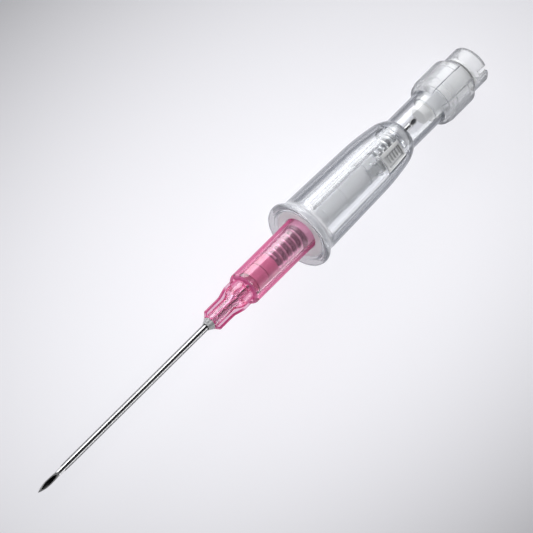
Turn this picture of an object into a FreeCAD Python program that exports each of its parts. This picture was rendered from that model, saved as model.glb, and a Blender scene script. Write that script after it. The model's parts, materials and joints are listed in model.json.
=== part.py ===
import FreeCAD, Part
import math
import os

os.makedirs("parts", exist_ok=True)

# A peripheral iv cannula with a sliding tip guard, in millimetres.
# X runs along the needle, with the point towards -X, and +Z is up.
# The origin is on the axis where the soft tube leaves the hub, because the length
# that goes into a vein is counted from there.

# Clearances that every fit uses
RUN_GAP = 0.05            # a piece that slides on another, per side
SEAT_GAP = 0.02           # a piece pressed or glued into another, per side
FACE_GAP = 0.05           # faces of moving pieces that meet end to end
GUIDE_GAP = 0.08          # the guard and the hub in the barrel's guides, per side
WINDOW_GAP = 0.12         # the push button in its window, per side

# Steel needle
NEEDLE_R = 0.45
NEEDLE_WALL = 0.15
NEEDLE_POINT = 5.7        # how far the point stands out of the soft tube
NEEDLE_BEVEL = 4.7        # length of the ground bevel
LANCET_ANGLE = 17.0       # slope of the two small facets at the point
LANCET_TURN = 38.0        # how far they are turned about the axis
NEEDLE_REACH = 6.5        # how far it reaches into the flash chamber
NEEDLE_REAR_BEVEL = 2.3

# Soft tube over the needle, and the steel eyelet that wedges it in the hub
TUBE_LENGTH = 34.75
TUBE_WALL = 0.08
TUBE_TAPER = 2.0
TUBE_TIP_WALL = 0.035
TUBE_BELL = 0.6
EYELET_WALL = 0.07
EYELET_START = 3.2        # behind the hub's nose
EYELET_BARREL = 1.8
EYELET_FUNNEL = 0.9
EYELET_FUNNEL_R = 0.98

# Grey ferrule on the nose of the hub
FERRULE_CONE = 0.95
FERRULE_R = 1.06
FERRULE_SPIGOT = 1.3
FERRULE_SPIGOT_WALL = 0.27
FERRULE_EDGE = 0.03

# Coloured hub, with lengths counted from its nose
HUB_LENGTH = 23.7
HUB_NOSE_R = 1.11
HUB_NECK = 4.7            # where the nose starts to flare
HUB_FLARE = 2.05
HUB_WAIST_R = 1.91
HUB_STEP = 8.15           # front of the thick body
HUB_STEP_ROUND = 0.55
HUB_R = 2.72
HUB_THROAT_R = 0.72
SOCKET_DEPTH = 13.9
SOCKET_FUNNEL = 1.2
SOCKET_LEDGE = 0.35       # step at the socket's floor
LUER_R = 2.165            # socket radius at the mouth
LUER_TAPER = 0.03         # radius lost per mm of depth, a six per cent cone
MOUTH_CHAMFER = 0.16
FIN_COUNT = 4
FIN_WIDTH = 0.60
FIN_START = 0.75
FIN_LOW = 0.70            # height above the nose
FIN_FLARE = 4.1
FIN_RISE = 1.9
FIN_HIGH = 0.35           # height above the waist
FIN_ROOT = 0.3            # how deep a fin reaches into the waist

# Valve in the hub: septum, spring and the tube that opens it
SEPTUM_LENGTH = 4.7
SEPTUM_GROOVE = 0.22
VALVE_WIRE_R = 0.16
VALVE_SPRING_GAP = 0.35   # between the septum and the spring
VALVE_TURNS = 5.5
OPENER_COLLAR = 0.5
OPENER_COLLAR_R = 1.93
OPENER_R = 1.25
OPENER_BORE_R = 0.80
OPENER_TIP = 1.2
OPENER_TIP_WALL = 0.18

# Clear barrel with the grip flange
HUB_SEAT = 2.1            # how far the hub stands inside the flange
FLANGE_R = 5.63
FLANGE_RIM = 1.0
RIM_CROWN = 0.32          # height of the round rim over its edges
RECESS_LIP = 0.6          # dish wall, from its mouth in to its floor
RECESS_FLOOR_R = 4.15
RECESS_DEPTH = 0.55
RECESS_BULGE = 0.045      # how far the dish's wall bows into the dish
BUSH_DEPTH = 1.6
BUSH_EDGE = 0.2
FLANGE_FLARE = 2.8        # length of flange and flare together
BARREL_START_R = 4.81
TAPER_LENGTH = 13.2
TAPER_END_R = 4.475
DROP_LENGTH = 6.7
SHOULDER_R = 3.83
SHOULDER_LENGTH = 2.2
BARREL_WALL = 0.75
BARREL_LIP = 0.08         # wall left at the barrel's rear edge
GUIDE_COUNT = 4
GUIDE_TURN = 34.0         # first guide rib, from +Z towards +Y
GUIDE_WIDTH = 0.45
GUIDE_START = 3.3         # behind the flange's face
GUIDE_LENGTH = 17.1
GUIDE_RAMP = 0.8

# Steel leaf that holds the guard, and the saddle it rocks on
SADDLE_START = 16.0       # behind the flange's face
SADDLE_LENGTH = 0.45
SADDLE_SIDE = 0.35
SADDLE_BRIDGE = 0.30
LEAF_THICK = 0.14
LEAF_WIDTH = 1.3
LEAF_FRONT_RISE = 0.57    # above the guard, at the hook
LEAF_REAR_RISE = 0.90     # above the guard, at the rear end
LEAF_REAR = 5.1           # how far the leaf runs behind the saddle's front
LEAF_BITE = 0.15          # how far the hook reaches into the guard's groove
CATCH_LEAD = 1.0          # groove in front of the saddle
CATCH_GROOVE = 0.55
CATCH_DEPTH = 0.30

# Push button in the side of the barrel
BUTTON_TURN = -17.0       # from +Z towards +Y
BUTTON_START = 1.1        # behind the saddle's front
BUTTON_LENGTH = 4.7
BUTTON_WIDTH = 3.5
BUTTON_PROUD = 0.14
BUTTON_THICK = 0.62
BUTTON_LIP = 0.35
BUTTON_LIP_THICK = 0.30
BUTTON_LIP_INSET = 0.38
BUTTON_END_WALL = 0.35
BUTTON_RIBS = 6
BUTTON_RIB_WIDTH = 0.3
BUTTON_RIB_DEPTH = 0.16
BUTTON_POST_R = 0.55
BUTTON_POST = 3.2         # behind the button's front edge

# Frosted guard that slides down the needle
GUARD_LENGTH = 17.85
GUARD_R = 2.05
GUARD_BAND_RISE = 0.12
GUARD_BAND_START = 9.65
GUARD_BAND = 4.7
GUARD_STEP_START = 5.05
GUARD_STEP = 0.09
GUARD_PLUG = 2.15         # how deep its nose goes into the hub
GUARD_COLLAR_RISE = 0.5
GUARD_COLLAR = 0.6
GUARD_CAVITY_R = 1.45
GUARD_NOSE_WALL = 1.0
GUARD_EDGE = 0.12
WASHER_THICK = 0.8
WASHER_SHELF = 0.2
CLIP_THICK = 0.12
CLIP_WIDTH = 1.1
CLIP_START = 2.25
CLIP_LENGTH = 9.0
CLIP_TOE = 0.5
CLIP_FLAT = 1.1

# Kick spring behind the guard
KICK_R = 1.85
KICK_WIRE_R = 0.19
KICK_TURNS = 4.4

# Flash chamber and the bushing that holds the needle
CHAMBER_LENGTH = 11.0
CHAMBER_R = 2.85
CHAMBER_BORE_R = 2.34
CHAMBER_RING_RISE = 0.13
CHAMBER_RING = 0.4
CHAMBER_FLOOR = 1.7
BUSHING_R = 1.85
BUSHING_SKIRT = 0.35
BUSHING_EDGE = 0.15

# Vented cap on the flash chamber
CAP_PLUG = 2.8            # how deep it goes into the chamber
CAP_COLLAR = 1.5
CAP_TAIL = 7.5
CAP_R = 3.22
CAP_EDGE = 0.15
CAP_REAR_ROUND = 0.3
CAP_WELL = 2.8            # depth of the well at the rear
CAP_WELL_R = 2.55
CAP_BORE_R = 1.84
NOTCH_WIDTH = 1.0
NOTCH_DEPTH = 1.7
NOTCH_TURN = -34.6        # from +Z towards +Y
WING_OVERLAP = 2.45       # how far the wings reach forward over the chamber
WING_LENGTH = 8.3
WING_R = 3.89
WING_WALL = 0.45
WING_DROP = 0.93
WING_FRONT_ROUND = 1.5
WING_REAR_ROUND = 1.0
WING_GAP_ANGLE = 22.0     # half of the open angle at top and bottom
PLUG_NOSE_GAP = 0.15      # between the needle's rear and the plug
PLUG_NOSE_R = 1.42
PLUG_EDGE = 0.18
PLUG_RINGS = 2
PLUG_RING_PITCH = 1.0
FILTER_THICK = 0.45

# Places along the axis
TUBE_TIP_X = -TUBE_LENGTH
NEEDLE_TIP_X = TUBE_TIP_X - NEEDLE_POINT
HUB_NOSE_X = FERRULE_CONE
HUB_STEP_X = HUB_NOSE_X + HUB_STEP
HUB_REAR_X = HUB_NOSE_X + HUB_LENGTH
HUB_BASE_X = HUB_REAR_X - SOCKET_DEPTH
SEPTUM_REAR_X = HUB_BASE_X + SEPTUM_LENGTH
EYELET_FRONT_X = HUB_NOSE_X + EYELET_START
EYELET_FUNNEL_X = EYELET_FRONT_X + EYELET_BARREL
EYELET_REAR_X = EYELET_FUNNEL_X + EYELET_FUNNEL
GUARD_FRONT_X = HUB_REAR_X - GUARD_PLUG
GUARD_REAR_X = GUARD_FRONT_X + GUARD_LENGTH
OPENER_REAR_X = GUARD_FRONT_X - FACE_GAP
FLANGE_X = HUB_REAR_X - HUB_SEAT
BARREL_START_X = FLANGE_X + FLANGE_FLARE
TAPER_END_X = BARREL_START_X + TAPER_LENGTH
SHOULDER_X = TAPER_END_X + DROP_LENGTH
BARREL_END_X = SHOULDER_X + SHOULDER_LENGTH
GUIDE_FRONT_X = FLANGE_X + GUIDE_START
GUIDE_REAR_X = GUIDE_FRONT_X + GUIDE_LENGTH
SADDLE_X = FLANGE_X + SADDLE_START
LEAF_REAR_X = SADDLE_X + LEAF_REAR
CATCH_X = SADDLE_X - CATCH_LEAD
BUTTON_FRONT_X = SADDLE_X + BUTTON_START
BUTTON_REAR_X = BUTTON_FRONT_X + BUTTON_LENGTH
POST_X = BUTTON_FRONT_X + BUTTON_POST
CHAMBER_FRONT_X = SHOULDER_X + CHAMBER_RING
CHAMBER_REAR_X = CHAMBER_FRONT_X + CHAMBER_LENGTH
NEEDLE_REAR_X = CHAMBER_FRONT_X + NEEDLE_REACH
PLUG_NOSE_X = NEEDLE_REAR_X + PLUG_NOSE_GAP
CAP_FRONT_X = CHAMBER_REAR_X + FACE_GAP
CAP_NOSE_X = CHAMBER_REAR_X - CAP_PLUG
CAP_SHOULDER_X = CAP_FRONT_X + CAP_COLLAR
CAP_REAR_X = CAP_SHOULDER_X + CAP_TAIL
CAP_WELL_X = CAP_REAR_X - CAP_WELL
WING_FRONT_X = CHAMBER_REAR_X - WING_OVERLAP
WING_REAR_X = WING_FRONT_X + WING_LENGTH

# Radii that follow from the fits
TUBE_BORE_R = NEEDLE_R + SEAT_GAP
TUBE_R = TUBE_BORE_R + TUBE_WALL
SLIDE_BORE_R = NEEDLE_R + RUN_GAP
EYELET_R = SLIDE_BORE_R + EYELET_WALL
BELL_BORE_R = EYELET_R + SEAT_GAP
BELL_R = BELL_BORE_R + TUBE_WALL
FERRULE_SPIGOT_R = TUBE_R + SEAT_GAP + FERRULE_SPIGOT_WALL
GUARD_BAND_R = GUARD_R + GUARD_BAND_RISE
WASHER_R = GUARD_CAVITY_R + WASHER_SHELF
GUIDE_R = GUARD_BAND_R + GUIDE_GAP
BUSH_HOLE_R = HUB_R + GUIDE_GAP
BUSH_SEAT_R = RECESS_FLOOR_R + SEAT_GAP
CHAMBER_RING_R = CHAMBER_R + CHAMBER_RING_RISE
BARREL_HOLE_R = CHAMBER_R + SEAT_GAP

# How finely repeated shapes are drawn
COIL_RUNS = 16            # straight runs in one turn of a spring
COIL_SIDES = 6            # flat sides of its wire
SKIN_STEPS = 3            # runs of a button skin along the barrel

X_AXIS = FreeCAD.Vector(1, 0, 0)
ORIGIN = FreeCAD.Vector(0, 0, 0)
ROUND_KNEE = 1 - math.sqrt(0.5)


def at(x, r, turn=0.0):
    """The point at x and radius r, turned from +Z towards +Y."""
    a = math.radians(turn)
    return FreeCAD.Vector(x, r * math.sin(a), r * math.cos(a))


def tangent_circle(x0, r0, slope, x1, r1):
    """Centre and radius of the circle that leaves (x0, r0) with the slope, to (x1, r1)."""
    nx, nr = -slope, 1.0
    dx, dr = x1 - x0, r1 - r0
    reach = (dx * dx + dr * dr) / (2 * (dx * nx + dr * nr))
    return x0 + reach * nx, r0 + reach * nr, abs(reach) * math.hypot(nx, nr)


class Outline:
    """A closed outline of x and radius, which is turned about the X axis."""

    def __init__(self, x, r):
        self.start = at(x, r)
        self.here = self.start
        self.slope = 0.0
        self.edges = []

    def line(self, x, r):
        """A straight edge to the point."""
        there = at(x, r)
        if abs(x - self.here.x) > 1e-9:
            self.slope = (r - self.here.z) / (x - self.here.x)
        self.edges.append(Part.LineSegment(self.here, there).toShape())
        self.here = there
        return self

    def arc(self, x_mid, r_mid, x, r):
        """An arc through a middle point."""
        there = at(x, r)
        self.edges.append(Part.Arc(self.here, at(x_mid, r_mid), there).toShape())
        self.here = there
        return self

    def flow(self, x, r):
        """An arc that goes on in the direction of the last edge, to the point."""
        xc, rc, radius = tangent_circle(self.here.x, self.here.z, self.slope, x, r)
        mx = (self.here.x + x) / 2 - xc
        mr = (self.here.z + r) / 2 - rc
        scale = radius / math.hypot(mx, mr)
        self.arc(xc + mx * scale, rc + mr * scale, x, r)
        self.slope = -(x - xc) / (r - rc)
        return self

    def face(self):
        if self.here.distanceToPoint(self.start) > 1e-6:
            self.edges.append(Part.LineSegment(self.here, self.start).toShape())
        return Part.Face(Part.Wire(self.edges))

    def turned(self, angle=360.0, start_turn=0.0):
        """The solid swept by the outline from start_turn, from +Z towards +Y."""
        solid = self.face().revolve(ORIGIN, X_AXIS, -angle)
        solid.rotate(ORIGIN, X_AXIS, -start_turn)
        return solid


def rod(x0, x1, r):
    return Part.makeCylinder(r, x1 - x0, FreeCAD.Vector(x0, 0, 0), X_AXIS)


def pipe(x0, x1, r_out, r_in):
    return rod(x0, x1, r_out).cut(rod(x0 - 1, x1 + 1, r_in))


def block(x0, x1, y0, y1, z0, z1, turn=0.0):
    """A box whose sides follow X, and the radial direction at the given turn."""
    box = Part.makeBox(x1 - x0, y1 - y0, z1 - z0, FreeCAD.Vector(x0, y0, z0))
    box.rotate(ORIGIN, X_AXIS, -turn)
    return box


def plate(points, width, turn=0.0):
    """A flat outline of x and radius, as thick as width, centred on the axis."""
    corners = [FreeCAD.Vector(x, -width / 2, r) for x, r in points]
    face = Part.Face(Part.makePolygon(corners + [corners[0]]))
    solid = face.extrude(FreeCAD.Vector(0, width, 0))
    solid.rotate(ORIGIN, X_AXIS, -turn)
    return solid


def cut_plane(solid, point, normal, size=12.0):
    """The solid without what lies on the normal's side of the plane."""
    half = Part.makeBox(size, size, size, FreeCAD.Vector(-size / 2, -size / 2, 0))
    turn = FreeCAD.Rotation(FreeCAD.Vector(0, 0, 1), normal)
    half.Placement = FreeCAD.Placement(point, turn).multiply(half.Placement)
    return solid.cut(half)


def coil(x0, x1, r_out, wire_r, turns):
    """A spring wire about the X axis: short straight runs on a helix, with few flat sides."""
    r_mid = r_out - wire_r
    rise = x1 - x0 - 2 * wire_r
    runs = round(turns * COIL_RUNS)
    path = [at(x0 + wire_r + rise * i / runs, r_mid, 360.0 * turns * i / runs) for i in range(runs + 1)]
    facing = FreeCAD.Rotation(FreeCAD.Vector(0, 0, 1), path[1] - path[0])
    corners = []
    for i in range(COIL_SIDES + 1):
        a = 2 * math.pi * i / COIL_SIDES
        spoke = FreeCAD.Vector(wire_r * math.cos(a), wire_r * math.sin(a), 0)
        corners.append(path[0] + facing.multVec(spoke))
    sweep = Part.BRepOffsetAPI.MakePipeShell(Part.makePolygon(path))
    sweep.setTransitionMode(1)
    sweep.add(Part.makePolygon(corners))
    sweep.build()
    sweep.makeSolid()
    return sweep.shape()


def luer_r(x):
    """Radius of the hub's tapered socket at x."""
    return LUER_R - LUER_TAPER * (HUB_REAR_X - x)


def leaf_r(x):
    """Radius of the middle of the leaf at x."""
    share = (x - CATCH_X) / (LEAF_REAR_X - CATCH_X)
    return GUARD_R + LEAF_FRONT_RISE + (LEAF_REAR_RISE - LEAF_FRONT_RISE) * share


def taper_slope():
    return (TAPER_END_R - BARREL_START_R) / TAPER_LENGTH


def barrel_r(x):
    """Radius of the barrel's outside on its taper and on the arc behind it."""
    if x <= TAPER_END_X:
        return BARREL_START_R + taper_slope() * (x - BARREL_START_X)
    xc, rc, radius = tangent_circle(TAPER_END_X, TAPER_END_R, taper_slope(), SHOULDER_X, SHOULDER_R)
    return rc + math.sqrt(radius ** 2 - (x - xc) ** 2)


def make_needle():
    needle = pipe(NEEDLE_TIP_X, NEEDLE_REAR_X, NEEDLE_R, NEEDLE_R - NEEDLE_WALL)
    slope = math.atan2(2 * NEEDLE_R, NEEDLE_BEVEL)
    tip = FreeCAD.Vector(NEEDLE_TIP_X, 0, -NEEDLE_R)
    needle = cut_plane(needle, tip, FreeCAD.Vector(-math.sin(slope), 0, math.cos(slope)))
    lancet = math.radians(LANCET_ANGLE)
    for side in (-1, 1):
        turn = math.radians(LANCET_TURN) * side
        normal = FreeCAD.Vector(-math.sin(lancet), math.cos(lancet) * math.sin(turn),
                                math.cos(lancet) * math.cos(turn))
        needle = cut_plane(needle, tip, normal)
    rear = math.atan2(2 * NEEDLE_R, NEEDLE_REAR_BEVEL)
    heel = FreeCAD.Vector(NEEDLE_REAR_X, 0, -NEEDLE_R)
    return cut_plane(needle, heel, FreeCAD.Vector(math.sin(rear), 0, math.cos(rear)))


def make_catheter_tube():
    """The soft tube, tapered at its tip and belled over the eyelet at its rear."""
    bell_x = EYELET_FRONT_X - TUBE_BELL
    outline = Outline(TUBE_TIP_X, TUBE_BORE_R).line(TUBE_TIP_X, TUBE_BORE_R + TUBE_TIP_WALL)
    outline.line(TUBE_TIP_X + TUBE_TAPER, TUBE_R).line(bell_x, TUBE_R)
    outline.line(EYELET_FRONT_X - SEAT_GAP, BELL_R).line(EYELET_FUNNEL_X, BELL_R)
    outline.line(EYELET_FUNNEL_X, BELL_BORE_R).line(EYELET_FRONT_X - SEAT_GAP, BELL_BORE_R)
    outline.line(bell_x, TUBE_BORE_R)
    return outline.turned()


def make_tube_eyelet():
    """The small steel funnel that wedges the tube into the hub."""
    outline = Outline(EYELET_FRONT_X, SLIDE_BORE_R).line(EYELET_FRONT_X, EYELET_R)
    outline.line(EYELET_FUNNEL_X, EYELET_R).line(EYELET_REAR_X, EYELET_FUNNEL_R)
    outline.line(EYELET_REAR_X, EYELET_FUNNEL_R - EYELET_WALL)
    outline.line(EYELET_FUNNEL_X, SLIDE_BORE_R)
    return outline.turned()


def make_nose_ferrule():
    bore = TUBE_R + SEAT_GAP
    front = HUB_NOSE_X - FERRULE_CONE
    outline = Outline(front, bore).line(front, bore + FERRULE_EDGE)
    outline.line(HUB_NOSE_X - 3 * FERRULE_EDGE, FERRULE_R).line(HUB_NOSE_X, FERRULE_R)
    outline.line(HUB_NOSE_X, FERRULE_SPIGOT_R)
    outline.line(HUB_NOSE_X + FERRULE_SPIGOT, FERRULE_SPIGOT_R)
    outline.line(HUB_NOSE_X + FERRULE_SPIGOT, bore)
    return outline.turned()


def hub_fin():
    """One long fin of the hub's nose, from its low front to its high rear."""
    root = (FERRULE_SPIGOT_R + HUB_NOSE_R) / 2
    low = HUB_NOSE_R + FIN_LOW
    high = HUB_WAIST_R + FIN_HIGH
    flare_x = HUB_NOSE_X + FIN_FLARE
    inside_x = HUB_STEP_X + HUB_STEP_ROUND
    points = [
        (HUB_NOSE_X, root),
        (HUB_NOSE_X, HUB_NOSE_R),
        (HUB_NOSE_X + FIN_START, low),
        (flare_x, low),
        (flare_x + FIN_RISE, high),
        (inside_x, high),
        (inside_x, HUB_WAIST_R - FIN_ROOT),
        (flare_x, root),
    ]
    return plate(points, FIN_WIDTH)


def make_catheter_hub():
    """Nose with fins, a rounded step and the body with its tapered socket."""
    neck_x = HUB_NOSE_X + HUB_NECK
    waist_x = neck_x + HUB_FLARE
    step_end = HUB_STEP_X + HUB_STEP_ROUND
    outer = Outline(HUB_NOSE_X, 0).line(HUB_NOSE_X, HUB_NOSE_R).line(neck_x, HUB_NOSE_R)
    outer.flow((neck_x + waist_x) / 2, (HUB_NOSE_R + HUB_WAIST_R) / 2).flow(waist_x, HUB_WAIST_R)
    outer.line(HUB_STEP_X, HUB_WAIST_R).line(HUB_STEP_X, HUB_R - HUB_STEP_ROUND)
    outer.arc(HUB_STEP_X + HUB_STEP_ROUND * ROUND_KNEE, HUB_R - HUB_STEP_ROUND * ROUND_KNEE,
              step_end, HUB_R)
    outer.line(HUB_REAR_X, HUB_R).line(HUB_REAR_X, 0)
    hub = outer.turned()
    for i in range(FIN_COUNT):
        fin = hub_fin()
        fin.rotate(ORIGIN, X_AXIS, i * 360.0 / FIN_COUNT)
        hub = hub.fuse(fin)
    bell = BELL_R + SEAT_GAP
    seat_x = EYELET_REAR_X + SEAT_GAP
    funnel_r = EYELET_FUNNEL_R + SEAT_GAP
    spigot_x = HUB_NOSE_X + FERRULE_SPIGOT
    spigot_r = FERRULE_SPIGOT_R + SEAT_GAP
    mouth_x = HUB_REAR_X - MOUTH_CHAMFER
    hollow = Outline(HUB_NOSE_X - 1, 0).line(HUB_NOSE_X - 1, spigot_r).line(spigot_x, spigot_r)
    hollow.line(spigot_x, bell).line(EYELET_FUNNEL_X, bell)
    hollow.line(EYELET_REAR_X, funnel_r).line(seat_x, funnel_r).line(seat_x, HUB_THROAT_R)
    hollow.line(HUB_BASE_X - SOCKET_FUNNEL, HUB_THROAT_R)
    hollow.line(HUB_BASE_X, luer_r(HUB_BASE_X) - SOCKET_LEDGE).line(HUB_BASE_X, luer_r(HUB_BASE_X))
    hollow.line(mouth_x, luer_r(mouth_x)).line(HUB_REAR_X, LUER_R + MOUTH_CHAMFER)
    hollow.line(HUB_REAR_X + 1, LUER_R + MOUTH_CHAMFER).line(HUB_REAR_X + 1, 0)
    return hub.cut(hollow.turned()).removeSplitter()


def make_septum():
    """Soft valve block with a groove round its middle."""
    middle = (HUB_BASE_X + SEPTUM_REAR_X) / 2
    bore = NEEDLE_R + SEAT_GAP / 2
    half = SEPTUM_GROOVE / 2
    outline = Outline(HUB_BASE_X, bore).line(HUB_BASE_X, luer_r(HUB_BASE_X) - SEAT_GAP)
    outline.line(middle - half, luer_r(middle - half) - SEAT_GAP)
    outline.line(middle - half, luer_r(middle) - 2 * SEPTUM_GROOVE)
    outline.line(middle + half, luer_r(middle) - 2 * SEPTUM_GROOVE)
    outline.line(middle + half, luer_r(middle + half) - SEAT_GAP)
    outline.line(SEPTUM_REAR_X, luer_r(SEPTUM_REAR_X) - SEAT_GAP)
    outline.line(SEPTUM_REAR_X, OPENER_R).line(SEPTUM_REAR_X - OPENER_TIP / 2, bore)
    return outline.turned()


def make_valve_spring():
    front = SEPTUM_REAR_X + VALVE_SPRING_GAP
    rear = OPENER_REAR_X - OPENER_COLLAR - FACE_GAP / 2
    return coil(front, rear, luer_r(front) - RUN_GAP, VALVE_WIRE_R, VALVE_TURNS)


def make_valve_opener():
    """Tube with a collar that a syringe tip pushes forward through the septum."""
    front = SEPTUM_REAR_X + FACE_GAP
    collar_x = OPENER_REAR_X - OPENER_COLLAR
    outline = Outline(front, OPENER_BORE_R).line(front, OPENER_BORE_R + OPENER_TIP_WALL)
    outline.line(front + OPENER_TIP, OPENER_R).line(collar_x, OPENER_R)
    outline.line(collar_x, OPENER_COLLAR_R).line(OPENER_REAR_X, OPENER_COLLAR_R)
    outline.line(OPENER_REAR_X, (OPENER_BORE_R + OPENER_R) / 2)
    outline.line(collar_x, OPENER_BORE_R)
    return outline.turned()


def barrel_body(offset, end_x, end_r):
    """Outline of the barrel's tapered side, at an offset from its outside."""
    side = Outline(BARREL_START_X, 0).line(BARREL_START_X, BARREL_START_R + offset)
    side.line(TAPER_END_X, TAPER_END_R + offset).flow(SHOULDER_X, SHOULDER_R + offset)
    if end_x > SHOULDER_X:
        side.flow(end_x, end_r)
    return side.line(end_x, 0)


def make_flange():
    """Dished flange with a round rim, flaring into the barrel."""
    top = FLANGE_R - RIM_CROWN
    rim_x = FLANGE_X + FLANGE_RIM
    floor_x = FLANGE_X + RECESS_DEPTH
    lip_r = BUSH_SEAT_R + RECESS_LIP
    lip_length = math.hypot(RECESS_DEPTH, RECESS_LIP)
    outline = Outline(BARREL_START_X, BUSH_SEAT_R).line(floor_x, BUSH_SEAT_R)
    outline.arc((floor_x + FLANGE_X) / 2 + RECESS_BULGE * RECESS_LIP / lip_length,
                (BUSH_SEAT_R + lip_r) / 2 - RECESS_BULGE * RECESS_DEPTH / lip_length,
                FLANGE_X, lip_r)
    outline.line(FLANGE_X, top).arc((FLANGE_X + rim_x) / 2, FLANGE_R, rim_x, top)
    xc, rc, radius = tangent_circle(BARREL_START_X, BARREL_START_R, taper_slope(), rim_x, top)
    away = math.atan2((top + BARREL_START_R) / 2 - rc, (rim_x + BARREL_START_X) / 2 - xc)
    outline.arc(xc + radius * math.cos(away), rc + radius * math.sin(away),
                BARREL_START_X, BARREL_START_R)
    return outline.turned()


def make_guide_rib(turn):
    """One rib inside the barrel, from the wall in to the guard's running band."""
    middle = BARREL_WALL / 2
    ramp_x = GUIDE_REAR_X - GUIDE_RAMP
    points = [
        (GUIDE_FRONT_X, GUIDE_R),
        (GUIDE_FRONT_X, barrel_r(GUIDE_FRONT_X) - middle),
        (TAPER_END_X, TAPER_END_R - middle),
        (GUIDE_REAR_X, barrel_r(GUIDE_REAR_X) - middle),
        (GUIDE_REAR_X, GUIDE_R + GUIDE_RAMP / 2),
        (ramp_x, GUIDE_R),
    ]
    return plate(points, GUIDE_WIDTH, turn)


def make_saddle():
    """Two posts and a bridge on the barrel's wall, which carry the leaf."""
    rear_x = SADDLE_X + SADDLE_LENGTH
    inner = LEAF_WIDTH / 2 + RUN_GAP
    outer = inner + SADDLE_SIDE
    top = leaf_r(SADDLE_X) - LEAF_THICK / 2 - SEAT_GAP
    low = top - SADDLE_BRIDGE
    wall = barrel_r(rear_x) - BARREL_WALL / 2
    saddle = block(SADDLE_X, rear_x, -outer, outer, low, top, BUTTON_TURN)
    for side in (-1, 1):
        near, far = sorted((side * inner, side * outer))
        saddle = saddle.fuse(block(SADDLE_X, rear_x, near, far, low, wall, BUTTON_TURN))
    return saddle


def make_barrel():
    """Flange, tapered wall, guide ribs, saddle and the window for the button."""
    barrel = barrel_body(0, BARREL_END_X, BARREL_HOLE_R + BARREL_LIP).turned()
    barrel = barrel.cut(barrel_body(-BARREL_WALL, SHOULDER_X, 0).turned())
    barrel = barrel.cut(rod(SHOULDER_X - 1, BARREL_END_X + 1, BARREL_HOLE_R))
    barrel = barrel.cut(rod(SHOULDER_X - 1, CHAMBER_FRONT_X + CHAMBER_RING, CHAMBER_RING_R + SEAT_GAP))
    flange = make_flange()
    bush_rear = FLANGE_X + RECESS_DEPTH + BUSH_DEPTH
    shelf = pipe(bush_rear, BARREL_START_X, BUSH_SEAT_R, BARREL_START_R - BARREL_WALL)
    barrel = barrel.fuse(flange).fuse(shelf)
    for i in range(GUIDE_COUNT):
        barrel = barrel.fuse(make_guide_rib(GUIDE_TURN + i * 360.0 / GUIDE_COUNT))
    barrel = barrel.fuse(make_saddle())
    low = barrel_r(BUTTON_REAR_X) - 2 * BARREL_WALL
    window = block(BUTTON_FRONT_X, BUTTON_REAR_X, -BUTTON_WIDTH / 2, BUTTON_WIDTH / 2,
                   low, FLANGE_R, BUTTON_TURN)
    return barrel.cut(window).removeSplitter()


def make_front_bush():
    """Frosted ring in the dish of the flange, round the back of the hub."""
    front = FLANGE_X + RECESS_DEPTH
    rear = front + BUSH_DEPTH
    edge = BUSH_EDGE
    outline = Outline(front, BUSH_HOLE_R + edge).line(front, RECESS_FLOOR_R - edge)
    outline.line(front + edge, RECESS_FLOOR_R).line(rear, RECESS_FLOOR_R)
    outline.line(rear, BUSH_HOLE_R).line(front + edge, BUSH_HOLE_R)
    return outline.turned()


def barrel_skin(x0, x1, outside, inside, steps=SKIN_STEPS):
    """A turned shell that follows the barrel's outside between two offsets from it."""
    places = [x0 + (x1 - x0) * i / steps for i in range(steps + 1)]
    outline = Outline(x0, barrel_r(x0) + inside)
    for x in places:
        outline.line(x, barrel_r(x) + outside)
    for x in places[::-1]:
        outline.line(x, barrel_r(x) + inside)
    return outline.turned()


def make_release_button():
    """Ribbed pad in the barrel's window, with end lips and a post for the leaf."""
    x0 = BUTTON_FRONT_X + WINDOW_GAP
    x1 = BUTTON_REAR_X - WINDOW_GAP
    half = BUTTON_WIDTH / 2 - WINDOW_GAP
    under = BUTTON_PROUD - BUTTON_THICK
    lip_top = -BARREL_WALL - GUIDE_GAP
    lip_low = lip_top - BUTTON_LIP_THICK
    pad = barrel_skin(x0, x1, BUTTON_PROUD, under)
    pitch = (x1 - x0) / BUTTON_RIBS
    for i in range(BUTTON_RIBS):
        rib_x = x0 + (i + 0.5) * pitch - BUTTON_RIB_WIDTH / 2
        rib = barrel_skin(rib_x, rib_x + BUTTON_RIB_WIDTH, BUTTON_PROUD + BUTTON_RIB_DEPTH,
                          BUTTON_PROUD - BUTTON_RIB_DEPTH, 1)
        pad = pad.fuse(rib)
    pad = pad.common(block(x0, x1, -half, half, 0, 2 * FLANGE_R))
    lips = []
    for near, far, top in (
        (BUTTON_FRONT_X - BUTTON_LIP, x0 + BUTTON_END_WALL, lip_top),
        (x0, x0 + BUTTON_END_WALL, under + BUTTON_RIB_DEPTH),
        (x1 - BUTTON_END_WALL, x1, under + BUTTON_RIB_DEPTH),
        (x1 - BUTTON_END_WALL, BUTTON_REAR_X + BUTTON_LIP / 2, lip_top),
    ):
        lips.append(barrel_skin(near, far, top, lip_low, 1))
    lip_half = half - BUTTON_LIP_INSET
    lips = lips[0].fuse(lips[1:]).common(
        block(TAPER_END_X, SHOULDER_X, -lip_half, lip_half, 0, 2 * FLANGE_R))
    post_low = leaf_r(POST_X) + LEAF_THICK / 2 + SEAT_GAP
    post_high = barrel_r(POST_X) + under + BUTTON_RIB_DEPTH
    post = Part.makeCylinder(BUTTON_POST_R, post_high - post_low, FreeCAD.Vector(POST_X, 0, post_low))
    button = pad.fuse(lips).fuse(post).removeSplitter()
    button.rotate(ORIGIN, X_AXIS, -BUTTON_TURN)
    return button


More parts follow.
